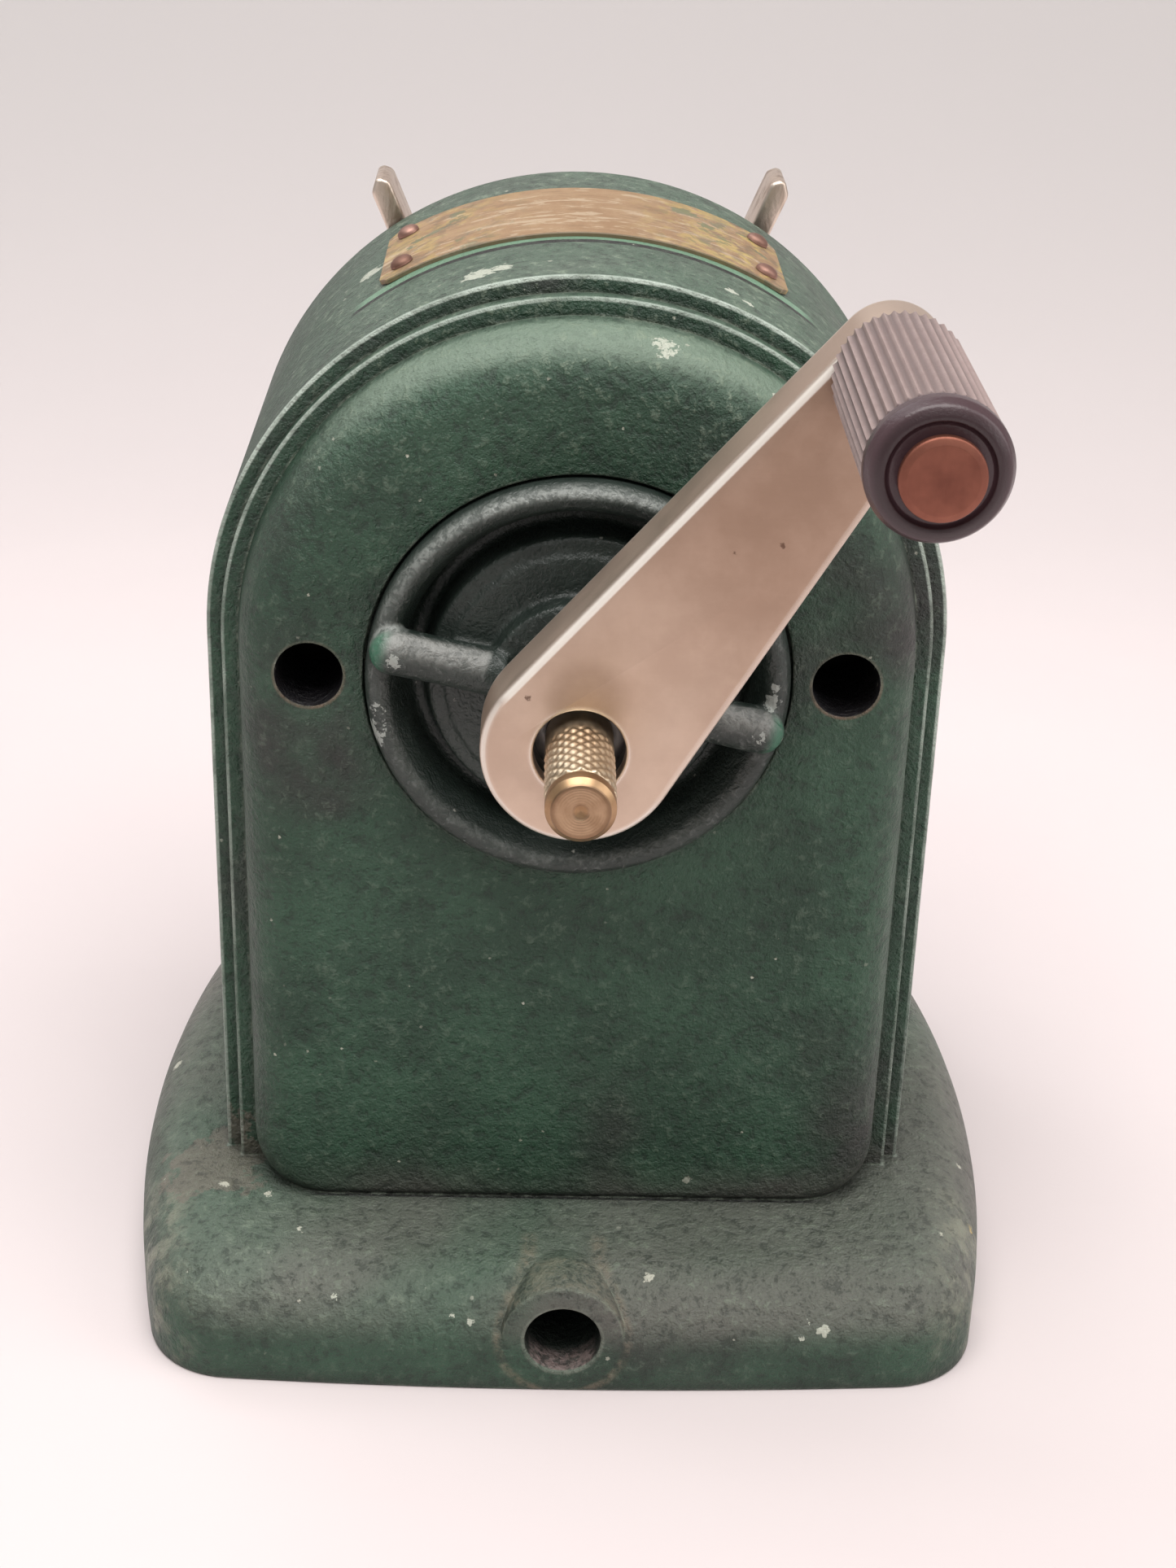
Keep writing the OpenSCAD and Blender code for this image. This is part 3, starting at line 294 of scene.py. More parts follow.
class Paint:
    """Builds one node material, a call a node, and its colour coat by coat. Sizes are in millimetres."""

    def __init__(self, name):
        self.material = bpy.data.materials.new(name)
        self.material.use_nodes = True
        self.tree = self.material.node_tree
        self.shader = self.tree.nodes["Principled BSDF"]
        self.place = self.node("TexCoord").outputs["Object"]
        split = self.node("SeparateXYZ")
        self.tree.links.new(self.place, split.inputs[0])
        self.x, self.y, self.z = split.outputs
        self.normal = self.node("NewGeometry").outputs["Normal"]
        self.color = None

    def node(self, kind):
        return self.tree.nodes.new("ShaderNode" + kind)

    def set(self, socket, value):
        """Links a socket to an input, or gives the input a plain value."""
        if isinstance(value, bpy.types.NodeSocket):
            self.tree.links.new(value, socket)
        else:
            socket.default_value = value

    def math(self, operation, a, b=0.0):
        node = self.node("Math")
        node.operation = operation
        self.set(node.inputs[0], a)
        self.set(node.inputs[1], b)
        return node.outputs[0]

    def chain(self, operation, values):
        total = values[0]
        for value in values[1:]:
            total = self.math(operation, total, value)
        return total

    def add(self, *values):
        return self.chain("ADD", values)

    def times(self, *values):
        return self.chain("MULTIPLY", values)

    def largest(self, *values):
        return self.chain("MAXIMUM", values)

    def less(self, a, b):
        return self.math("SUBTRACT", a, b)

    def aside(self):
        """Distance from the middle plane."""
        return self.math("ABSOLUTE", self.x)

    def ramp(self, value, low, high, to_low=0.0, to_high=1.0):
        """Smoothly from to_low at low to to_high at high."""
        node = self.node("MapRange")
        node.interpolation_type = "SMOOTHSTEP"
        self.set(node.inputs["Value"], value)
        for name, number in (("From Min", low), ("From Max", high), ("To Min", to_low), ("To Max", to_high)):
            self.set(node.inputs[name], number)
        return node.outputs["Result"]

    def zone(self, value, origin, low, high, to_low=0.0, to_high=1.0):
        """A ramp between two distances past origin, which is in metres."""
        return self.ramp(value, origin + low * MM, origin + high * MM, to_low, to_high)

    def band(self, value, centre, half, soft):
        """1 where value lies within half of centre, which is in metres."""
        return self.ramp(self.math("ABSOLUTE", self.less(value, centre)), (half + soft) * MM, half * MM)

    def mix(self, share, a, b):
        node = self.node("Mix")
        node.data_type = "RGBA"
        self.set(node.inputs[0], share)
        self.set(node.inputs[6], (*a, 1) if isinstance(a, tuple) else a)
        self.set(node.inputs[7], (*b, 1) if isinstance(b, tuple) else b)
        return node.outputs[2]

    def coat(self, mask, color, share=None):
        """Lays a colour over what is there where mask is 1, covering no more than share of it."""
        if share is not None:
            mask = self.times(mask, share)
        self.color = self.mix(mask, self.color, color)

    def stretch(self, scale, turn=(0, 0, 0)):
        """The object's coordinates turned and scaled, for drawn-out noise."""
        node = self.node("Mapping")
        self.set(node.inputs["Vector"], self.place)
        node.inputs["Scale"].default_value = scale
        node.inputs["Rotation"].default_value = turn
        return node.outputs[0]

    def noise(self, size, detail=3.0, rough=0.5, twist=0.0, place=None):
        """Noise with features about size across."""
        node = self.node("TexNoise")
        node.noise_type = "FBM"
        self.set(node.inputs["Vector"], place or self.place)
        numbers = {"Scale": 1.0 / (size * MM), "Detail": detail, "Roughness": rough, "Distortion": twist}
        for name, number in numbers.items():
            node.inputs[name].default_value = number
        return node.outputs[0]

    def spot(self, place, radius, ragged=1.0):
        """1 within a ragged patch about a point of the frame."""
        offset = self.node("VectorMath")
        offset.operation = "DISTANCE"
        self.set(offset.inputs[0], self.place)
        offset.inputs[1].default_value = Vector(place) * MM
        wobble = self.times(self.less(self.noise(radius * 0.9, 4, 0.7), 0.5), radius * MM * 2.6 * ragged)
        return self.zone(self.add(offset.outputs["Value"], wobble), 0, radius, radius * 0.86)

    def spots(self, places, ragged):
        """All of a list of (place, radius)."""
        return self.largest(*[self.spot(place, radius, ragged) for place, radius in places])

    def specks(self, spacing, size, share):
        """Scattered dots, each of its own size, in that share of the cells, and a number for each cell."""
        node = self.node("TexVoronoi")
        self.set(node.inputs["Vector"], self.place)
        node.inputs["Scale"].default_value = 1.0 / (spacing * MM)
        split = self.node("SeparateColor")
        self.tree.links.new(node.outputs["Color"], split.inputs[0])
        chosen = self.ramp(split.outputs[0], 1 - share, 1 - share + 0.01)
        reach = self.times(self.add(split.outputs[1], 0.25), size / spacing)
        ragged = self.times(self.less(self.noise(size * 0.9, 3, 0.7), 0.5), 2.4 * size / spacing)
        inside = self.ramp(self.less(self.add(node.outputs["Distance"], ragged), reach), 0.02, -0.02)
        return self.times(chosen, inside), split.outputs[2]

    def bump(self, height, distance, strength):
        """A normal bent by a height that reaches distance at 1."""
        node = self.node("Bump")
        node.inputs["Strength"].default_value = strength
        node.inputs["Distance"].default_value = distance * MM
        self.set(node.inputs["Height"], height)
        return node.outputs[0]

    def lean(self, other, start, full):
        """How far the surface's true normal agrees with another direction."""
        dot = self.node("VectorMath")
        dot.operation = "DOT_PRODUCT"
        self.set(dot.inputs[0], self.normal)
        self.set(dot.inputs[1], other)
        return self.ramp(dot.outputs["Value"], start, full)

    def edges(self, radius, start=0.995, full=0.9):
        """1 on edges, 0 on flats, by a normal rounded over radius."""
        bevel = self.node("Bevel")
        bevel.samples = 4
        bevel.inputs["Radius"].default_value = radius * MM
        return self.lean(bevel.outputs[0], start, full)

    def crevices(self, distance):
        """1 in corners and grooves, 0 in the open."""
        node = self.node("AmbientOcclusion")
        node.samples = 6
        node.inputs["Distance"].default_value = distance * MM
        return self.ramp(node.outputs["AO"], 0.9, 0.35)

    def facing(self, axis, start, full):
        """How far the surface faces a direction."""
        return self.lean(direction(axis), start, full)

    def from_spine(self):
        """Distance from the housing's middle line: sideways below the arch's centre, radial above it."""
        rise = self.math("MAXIMUM", self.less(self.z, ARCH_Z), 0.0)
        return self.math("SQRT", self.add(self.times(self.x, self.x), self.times(rise, rise)))

    def ring(self, x, z):
        """Distance from an axis along Y through x, z."""
        dx, dz = self.less(self.x, x), self.less(self.z, z)
        return self.math("SQRT", self.add(self.times(dx, dx), self.times(dz, dz)))

    def finish(self, rough, metallic, normal, **fixed):
        """Drives the shader, sets what is fixed, and returns the material."""
        driven = {"Base Color": self.color, "Roughness": rough, "Metallic": metallic, "Normal": normal}
        for name, value in driven.items():
            self.set(self.shader.inputs[name], value)
        for name, value in fixed.items():
            self.shader.inputs[name.replace("_", " ")].default_value = value
        return self.material


# Enamel of the housing
GREEN = (0.028, 0.080, 0.045)
GREEN_DEEP = (0.016, 0.048, 0.027)
SOOT = (0.024, 0.024, 0.022)
BLOOM_AND_TOP_LIGHT = (0.135, 0.195, 0.145)
PANEL_TOP_HIGHLIGHT = (0.21, 0.28, 0.215)
CREASE_SHADE = (0.007, 0.014, 0.010)
CRUST_AND_PEAK_HIGHLIGHT = (0.24, 0.30, 0.22)
CORNER_SHADE = (0.010, 0.011, 0.009)
SEAM_DARK = (0.004, 0.004, 0.004)
BED_STRIP_HIGHLIGHT = (0.20, 0.36, 0.24)
BED_DARK = (0.004, 0.006, 0.005)
WORN_EDGE = (0.24, 0.28, 0.22)
STEP_EDGE_HIGHLIGHT = (0.50, 0.58, 0.51)
CREAM = (0.60, 0.60, 0.50)
OCHRE = (0.55, 0.42, 0.16)
PALE_CHIP = (0.52, 0.55, 0.46)

# Dirt on the base and in the holes, and painted shade inside the holes
DUST = (0.155, 0.145, 0.128)
SCUFF = (0.27, 0.28, 0.21)
PINK_RUB = (0.21, 0.155, 0.13)
TAN_DIRT = (0.26, 0.20, 0.14)
CLAMP_RIM = (0.20, 0.22, 0.18)
CLAMP_HOLE_SHADE = (0.004, 0.003, 0.005)
CLAMP_DIRT = (0.26, 0.185, 0.18)
BORE_RIM = (0.16, 0.105, 0.07)
BORE_SHADE = (0.010, 0.009, 0.011)

# Enamel of the cap
CAP_BLACK = (0.014, 0.022, 0.018)
CAP_GREEN = (0.026, 0.037, 0.031)
CAP_RIM_HIGHLIGHT = (0.28, 0.30, 0.28)
BAR_WEAR_AND_HIGHLIGHT = (0.25, 0.255, 0.24)
BAR_END_GREEN = (0.030, 0.150, 0.085)
CAP_PEAK_HIGHLIGHT = (0.16, 0.175, 0.165)
CAP_CHIP = (0.36, 0.39, 0.36)
CAP_DOT = (0.50, 0.50, 0.44)

# Where the enamel is chipped: place and radius in millimetres
CHIPS_ON_HOUSING = [
    ((-11.2, -12.5, 120.4), 1.6), ((-8.9, -12, 121.0), 1.2), ((8.2, -25, 117.4), 1.6),
    ((9.6, -25, 117.2), 1.0), ((15.5, -11.5, 119.0), 0.8), ((17.2, -13.5, 118.2), 0.6),
    ((-24.4, 12, 113.9), 1.5), ((21, 14, 117.5), 0.9), ((15.8, -26.5, 110), 0.5), ((28.0, -45.8, 9.4), 0.5),
    ((29.6, -45.8, 8.2), 0.7), ((27.2, -46, 7.2), 0.4), ((30.6, -45.5, 9.6), 0.4), ((-10.5, -46, 8.8), 0.45),
    ((-12.6, -46, 9.6), 0.4), ((-26, -44.5, 11.0), 0.45),
]
CHIPS_ON_CAP = [
    ((-21.7, -29.2, 75.0), 1.6), ((-21.4, -29.8, 77.9), 0.8), ((20.7, -30.6, 79.6), 0.9),
    ((20.9, -30.6, 81.2), 0.5), ((-12.5, -30, 61), 0.9), ((19.4, -32.6, 76.4), 0.8),
    ((-19.5, -33, 84.4), 0.7),
]
GREEN_ON_NAMEPLATE = [
    ((11.5, 17.5, 120.5), 1.7), ((14, 14, 119.8), 1.1), ((-15, 18, 119.4), 1.0), ((-19, 12, 118), 0.9),
]


def cast_relief(p):
    """Wrinkled surface of thick enamel: returns its height and a finer grain."""
    lumps = p.noise(1.9, 3, 0.6, 0.25)
    wrinkle = p.noise(0.9, 3, 0.65, 0.2)
    grain = p.noise(0.35, 3, 0.7, 0.1)
    return p.add(p.times(lumps, 0.40), p.times(wrinkle, 0.38), p.times(grain, 0.22)), grain


def coat_base_dust(p, big):
    """Grey-brown dust on the base's upper round, yellowish scuffs at its corners, a pink rub on the left."""
    foot = p.times(p.zone(p.z, 0, 20, 11), p.zone(p.z, 0, 4.5, 9.5))
    p.coat(p.times(foot, p.ramp(big, 0.35, 0.6, 0.15, 0.62)), DUST)
    scuffs = p.times(p.zone(p.aside(), 0, 40, 49), p.ramp(p.noise(4, 5, 0.7), 0.44, 0.62))
    p.coat(p.times(scuffs, p.zone(p.z, 0, 14, 12), p.zone(p.y, 0, -18, -30, 0.12, 1.0)), SCUFF, 0.75)
    p.coat(p.spot((-42, -22, 14), 6.5), PINK_RUB, 0.45)


def step_edge_highlights(p):
    """Painted highlights: smooth bright lines along the edges of the two steps round the panel, broken in
    patches and stronger towards the top.
    """
    spine = p.from_spine()
    line = ARCH_R - 0.15 * MM
    edge = p.times(p.band(spine, line, 0.16, 0.22), p.band(p.y, FRONT_Y, 0.2, 0.3))
    ridge = p.times(p.band(spine, line - RIDGE_INSET, 0.14, 0.2), p.band(p.y, RIDGE_Y, 0.2, 0.3))
    patchiness = p.ramp(p.noise(9, 4, 0.6), 0.36, 0.56, 0.35, 0.9)
    return p.times(p.largest(edge, p.times(ridge, 0.7)), patchiness, p.zone(p.z, 0, 20, 100, 0.4, 1.0))


def coat_clamp_hole(p, relief):
    """Tan dirt round the boss, a bright rim, pinkish dirt just inside the hole, and painted shade, nearly
    black, on the hole's walls.
    """
    boss = p.ring(0, CLAMP_Z)
    outside = p.times(p.zone(boss, BOSS_R, 1.2, 0.3), p.zone(boss, BOSS_R, -0.4, 0.2))
    crease = p.times(outside, p.zone(p.y, 0, -34, -37), p.ramp(relief, 0.42, 0.58, 0.1, 0.8))
    p.coat(crease, TAN_DIRT, 0.5)
    rim = p.times(p.zone(boss, CLAMP_R, 0.6, 0.25), p.zone(p.y, 0, -44, -46))
    p.coat(p.times(rim, p.ramp(relief, 0.38, 0.6, 0.1, 0.6)), CLAMP_RIM)
    settled = p.times(p.zone(p.y, 0, -42.5, -44.5), p.zone(p.z, CLAMP_Z, -1.6, -3.0))
    settled = p.times(settled, p.ramp(p.noise(0.8, 4, 0.7), 0.40, 0.56, 0.2, 1.0))
    # Painted shade, nearly black, on the hole's walls, with the pinkish dirt where it has settled.
    inside = p.times(p.zone(boss, CLAMP_R, 0.1, -0.05), p.zone(p.y, 0, -12, -14))
    p.coat(inside, p.mix(settled, CLAMP_HOLE_SHADE, CLAMP_DIRT))


def coat_rod_bores(p, relief):
    """Painted shade, nearly black, inside the rods' bores, and a thin brown rim, heavier below."""
    rings = [p.ring(side * ROD_X, AXIS_Z) for side in (-1, 1)]
    rims = p.largest(*[p.zone(ring, ROD_BORE_R, 0.5, 0.2) for ring in rings])
    below = p.zone(p.z, AXIS_Z, 1.5, -2.5, 0.25, 0.9)
    p.coat(p.times(rims, p.zone(p.y, 0, -25, -27.3), below, p.ramp(relief, 0.4, 0.6, 0.4, 1.0)), BORE_RIM)
    # Painted shade: the bores' walls nearly black.
    inside_bores = p.largest(*[p.zone(ring, ROD_BORE_R, 0.1, 0) for ring in rings])
    p.coat(p.times(inside_bores, p.zone(p.y, 0, 30, 29)), BORE_SHADE)


def coat_plate_bed(p):
    """Painted highlight: a paler green strip on the nameplate's bed, in front of the plate."""
    half = BED_FRONT / 2
    bed = p.times(p.band(p.y, PLATE_LOW.y - half, half / MM, 0.2), p.zone(p.z, 0, 112, 113))
    p.coat(p.times(bed, p.zone(p.aside(), 0, 26, 24)), BED_STRIP_HIGHLIGHT, 0.75)


def coat_bed_edge(p, relief):
    """A dark dashed line along the front edge of the nameplate's bed."""
    line = p.times(p.band(p.y, PLATE_LOW.y - BED_FRONT - 0.7 * MM, 0.6, 0.2), p.zone(p.z, 0, 111, 112))
    p.coat(p.times(line, p.zone(p.aside(), 0, 26, 25), p.ramp(relief, 0.42, 0.50, 0.45, 1.0)), BED_DARK)


def coat_specks(p):
    """Splashes of old paint low on the base, and fine flecks everywhere."""
    dots, tint = p.specks(5, 0.75, 0.16)
    dots = p.times(dots, p.zone(p.z, 0, 20, 13))
    p.coat(dots, p.mix(p.ramp(tint, 0.8, 0.9), CREAM, OCHRE), 0.85)
    dots, tint = p.specks(1.3, 0.22, 0.05)
    p.coat(p.times(dots, p.ramp(tint, 0.0, 1.0, 0.15, 0.7)), CREAM)


def green_paint():
    """Old wrinkled enamel on a casting, flecked and chipped. It is paler where it faces up, partly a dull
    bloom and partly painted light from above. There is painted shade in corners, creases, the bores, the
    clamp's hole and on the left side, and painted highlights on the panel's top, the steps' edges and the
    nameplate's bed.
    """
    p = Paint("green_enamel")
    relief, grain = cast_relief(p)
    patches = p.noise(12, 4, 0.6)
    big = p.noise(38, 3, 0.5, 0.4)
    up = p.facing("+Z", 0.15, 0.95)
    p.color = p.mix(p.ramp(patches, 0.3, 0.7), GREEN, GREEN_DEEP)
    p.coat(p.times(p.ramp(big, 0.48, 0.66), p.ramp(patches, 0.3, 0.6, 0.35, 0.95)), SOOT)
    # Partly painted light: paler green on upward faces and the relief's peaks stands for light from above,
    # in patches like a dull bloom.
    bloom_and_top_light = p.times(up, p.ramp(patches, 0.25, 0.75, 0.25, 0.75))
    bloom_and_top_light = p.add(bloom_and_top_light, p.times(p.ramp(relief, 0.53, 0.62), 0.16))
    p.coat(p.math("MINIMUM", bloom_and_top_light, 0.85), BLOOM_AND_TOP_LIGHT)
    # Painted highlight: a pale band on the upper rounding of the panel, where the light from above is
    # reflected.
    panel_highlight = p.times(p.zone(p.y, RIDGE_Y, -0.5, -2), p.facing("+Z", 0.45, 0.85), p.zone(p.z, 0, 88, 110))
    p.coat(panel_highlight, PANEL_TOP_HIGHLIGHT, 0.75)
    # Painted shade: faces turned to -X, the left side, are darkened towards the deep green.
    p.coat(p.facing("-X", 0.5, 0.95), GREEN_DEEP, 0.9)
    coat_base_dust(p, big)
    # Painted shade in the low creases of the relief, weaker under the panel's painted highlight.
    p.coat(p.times(p.ramp(relief, 0.49, 0.41, 0.0, 0.50), p.less(1.0, p.times(panel_highlight, 0.75))), CREASE_SHADE)
    # Pale crust on the relief's peaks, laid mostly on upward faces and near the arch's top, so partly a
    # painted highlight.
    proud = p.add(p.ramp(up, 0.0, 0.6, 0.10, 0.32), p.times(p.zone(p.z, 0, 100, 112), 0.22))
    p.coat(p.times(p.ramp(relief, 0.53, 0.60), p.ramp(patches, 0.35, 0.6, 0.3, 1.0), proud), CRUST_AND_PEAK_HIGHLIGHT)
    # Painted shade: nearly black in corners and grooves, found by ambient occlusion.
    p.coat(p.times(p.crevices(3.0), p.ramp(relief, 0.4, 0.6, 0.35, 0.8)), CORNER_SHADE)
    seam = p.times(p.band(p.z, BASE_H, 0.2, 0.3), p.band(p.y, PANEL_Y + 0.2 * MM, 0.35, 0.3))
    p.coat(p.times(seam, p.zone(p.aside(), 0, 32, 28), p.ramp(relief, 0.4, 0.5, 0.3, 0.95)), SEAM_DARK)
    coat_plate_bed(p)
    p.coat(p.times(p.edges(0.55), p.ramp(p.noise(2.5, 4, 0.7), 0.45, 0.62, 0.15, 0.8)), WORN_EDGE)
    coat_bed_edge(p, relief)
    # Painted highlights on the steps' edges, which are also made a little glossier.
    step_highlight = step_edge_highlights(p)
    p.coat(step_highlight, STEP_EDGE_HIGHLIGHT)
    coat_rod_bores(p, relief)
    coat_clamp_hole(p, relief)
    coat_specks(p)
    p.coat(p.spots(CHIPS_ON_HOUSING, 1.3), PALE_CHIP, 0.92)
    rough = p.add(p.ramp(patches, 0.3, 0.7, 0.31, 0.41), p.times(grain, 0.12))
    rough = p.less(rough, p.times(step_highlight, 0.12))
    return p.finish(rough, 0.0, p.bump(relief, 1.15, 1.0), Specular_IOR_Level=0.5)


def dark_paint():
    """Cap enamel: nearly black green, greener on the bar's ends. It has painted highlights in grey on the
    rim's upper left, on the bar's upward faces, where the grey is partly worn paint, and on the raised
    bumps.
    """
    p = Paint("dark_enamel")
    lumps = p.noise(1.2, 3, 0.6, 0.8)
    grain = p.noise(0.45, 3, 0.6)
    relief = p.add(p.times(lumps, 0.6), p.times(grain, 0.4))
    p.color = p.mix(p.ramp(p.noise(7, 4, 0.6), 0.35, 0.65), CAP_BLACK, CAP_GREEN)
    proud = p.zone(p.y, CAP_FACE_Y, 1.6, -0.4)
    away = p.ring(0, AXIS_Z)
    up = p.facing("+Z", -0.2, 0.7)
    lit = p.zone(p.less(p.z, p.times(p.x, 0.5)), AXIS_Z, -4, 20, 0.3, 1.0)
    # Painted highlight on the rim's crest, on its upward and upper-left side.
    rim = p.times(p.zone(away, 0, 18.8, 20.6), proud, up, lit)
    p.coat(p.times(rim, p.ramp(relief, 0.42, 0.58, 0.35, 0.95)), CAP_RIM_HIGHLIGHT)
    bar = p.times(p.zone(p.y, CAP_FACE_Y, -0.5, -1.6), p.zone(away, 0, 9.9, 10.6))
    # Worn grey on the finger bar, laid only on its upward faces, so partly a painted highlight.
    p.coat(p.times(bar, up, p.ramp(relief, 0.38, 0.58, 0.45, 0.95)), BAR_WEAR_AND_HIGHLIGHT)
    p.coat(p.times(p.zone(away, 0, 20.3, 22.0), bar), BAR_END_GREEN, 0.8)
    # Painted highlight on the raised bumps of the relief.
    p.coat(p.times(proud, p.ramp(relief, 0.54, 0.64, 0.0, 0.4)), CAP_PEAK_HIGHLIGHT)
    p.coat(p.spots(CHIPS_ON_CAP, 1.4), CAP_CHIP, 0.9)
    p.coat(p.specks(2.2, 0.22, 0.10)[0], CAP_DOT, 0.7)
    rough = p.add(0.32, p.times(grain, 0.16))
    return p.finish(rough, 0.0, p.bump(relief, 0.42, 0.9), Specular_IOR_Level=0.55)


def fold_highlight_mask(p):
    """Mask of a painted highlight: a bright line along the fold on the arm's upper left side and round its
    hub.
    """
    rise = p.less(p.z, AXIS_Z)
    c, s = math.cos(CRANK_ANGLE), math.sin(CRANK_ANGLE)
    along = p.add(p.times(p.x, c), p.times(rise, s))
    across = p.less(p.times(rise, c), p.times(p.x, s))
    taper = (HUB_R - TIP_R) / CRANK_THROW
    side = p.add(p.times(across, math.sqrt(1 - taper ** 2)), p.times(along, taper))
    straight = p.times(p.band(side, HUB_R - 0.55 * MM, 0.22, 0.25), p.zone(along, 0, -1, 1))
    straight = p.times(straight, p.zone(along, CRANK_THROW, 2, -1))
    round_hub = p.times(p.band(p.ring(0, AXIS_Z), HUB_R - 0.4 * MM, 0.12, 0.2), p.zone(along, 0, 1, -1))
    return p.times(p.largest(straight, p.times(round_hub, 0.5)), p.zone(p.y, ARM_Y, 0.9, 0.6))


def nickel():
    """Worn warm nickel, brushed along and stained in patches, with painted light. It has highlights on its
    edges, along the fold and on its upper side wall, a reflection of the screw above the hole, and is
    brighter near the hub than out at the tip.
    """
    p = Paint("warm_nickel")
    across = p.noise(0.22, 4, 0.6, 0, p.stretch((1, 0.04, 1), (0, -CRANK_ANGLE, 0)))
    lines = p.noise(0.3, 3, 0.6, 0, p.stretch((0.06, 1, 1), (0, CRANK_ANGLE, 0)))
    stains = p.noise(7, 5, 0.6)
    stained = p.ramp(stains, 0.3, 0.7)
    # Painted light: the nickel is brighter near the hub and darker out towards the tip.
    near_hub = p.mix(stained, (0.62, 0.485, 0.385), (0.565, 0.43, 0.34))
    far_out = p.mix(stained, (0.43, 0.305, 0.23), (0.385, 0.265, 0.195))
    p.color = p.mix(p.zone(p.ring(0, AXIS_Z), 0, 6, 30), near_hub, far_out)
    # Painted reflection of the knurled screw: a soft darker patch above the arm's hole.
    above_hole = p.ring(0.4 * MM, AXIS_Z + 6.2 * MM)
    pin_reflection = p.times(p.zone(above_hole, 0, 5.0, 2.4), p.zone(p.y, ARM_Y, 0.4, 0.1))
    p.coat(pin_reflection, (0.22, 0.14, 0.09), 0.3)
    p.coat(p.specks(5, 0.3, 0.3)[0], (0.10, 0.05, 0.035), 0.75)
    # Painted highlight on the arm's edges.
    edge = p.edges(0.8, 0.998, 0.94)
    p.coat(edge, (0.97, 0.94, 0.88), 0.95)
    # Painted light on the arm's upward side wall, also made less metallic below so that it shows lit.
    wall = p.times(p.zone(p.y, ARM_Y, 0.4, 1.0), p.facing("+Z", 0.3, 0.9))
    p.coat(wall, (0.62, 0.52, 0.44), 0.6)
    # Painted highlight along the fold, also made less metallic below so that it shows lit.
    fold = fold_highlight_mask(p)
    p.coat(fold, (0.88, 0.84, 0.77), 0.9)
    rough = p.less(p.add(p.ramp(stains, 0.3, 0.7, 0.36, 0.46), p.times(lines, 0.08)), p.times(edge, 0.12))
    metallic = p.less(1.0, p.add(p.times(fold, 0.75), p.times(wall, 0.2)))
    return p.finish(rough, metallic, p.bump(p.add(p.times(lines, 0.5), p.times(across, 0.5)), 0.03, 0.5))


def metal(name, color, dark, rough):
    """A machined or drawn metal with stains, fine scratches, brighter edges and painted shade in its
    crevices.
    """
    p = Paint(name)
    stains = p.noise(8, 4, 0.6)
    fine = p.noise(0.3, 3, 0.6, 0, p.stretch((1, 1, 0.15)))
    p.color = p.mix(p.ramp(stains, 0.35, 0.7), color, dark)
    # Painted shade in crevices, found by ambient occlusion.
    p.coat(p.crevices(2), tuple(0.35 * c for c in dark), 0.6)
    p.coat(p.edges(0.35), tuple(min(1.0, 1.35 * c) for c in color), 0.7)
    roughness = p.add(p.ramp(stains, 0.3, 0.7, rough - 0.06, rough + 0.1), p.times(fine, 0.08))
    return p.finish(roughness, 1.0, p.bump(p.add(fine, p.times(stains, 0.4)), 0.04, 0.5))


def screw_brass():
    """Brass of the adjusting screw: painted highlight on the knurl's points and painted shade between them,
    brown at the tip.
    """
    p = Paint("knurled_brass")
    away = p.ring(0, AXIS_Z)
    stains = p.noise(2.5, 4, 0.6)
    # Painted highlight on the knurl's points, painted shade in its valleys.
    p.color = p.mix(p.zone(away, SCREW_R, -0.30, -0.06), (0.54, 0.43, 0.30), (0.70, 0.58, 0.42))
    tip = p.zone(p.y, ARM_Y - 10 * MM, -0.6, -1.2)
    p.coat(tip, p.mix(p.ramp(stains, 0.35, 0.65), (0.46, 0.30, 0.17), (0.36, 0.22, 0.12)))
    face = p.zone(p.y, SCREW_TIP_Y, 0.25, 0.1)
    p.coat(face, p.mix(p.ramp(stains, 0.3, 0.7), (0.44, 0.30, 0.19), (0.33, 0.21, 0.125)))
    p.coat(p.times(face, p.zone(away, 0, 2.2, 2.8)), (0.20, 0.12, 0.07), 0.7)
    # Painted shade in the small dimple at the middle of the tip's face.
    p.coat(p.times(face, p.zone(away, 0, 0.9, 0.3)), (0.14, 0.08, 0.05))
    turned_marks = p.math("SINE", p.times(away, 2 * math.pi / (0.28 * MM)))
    height = p.add(p.times(turned_marks, face, 0.5), stains)
    return p.finish(p.ramp(stains, 0.3, 0.7, 0.34, 0.46), 1.0, p.bump(height, 0.03, 0.5))


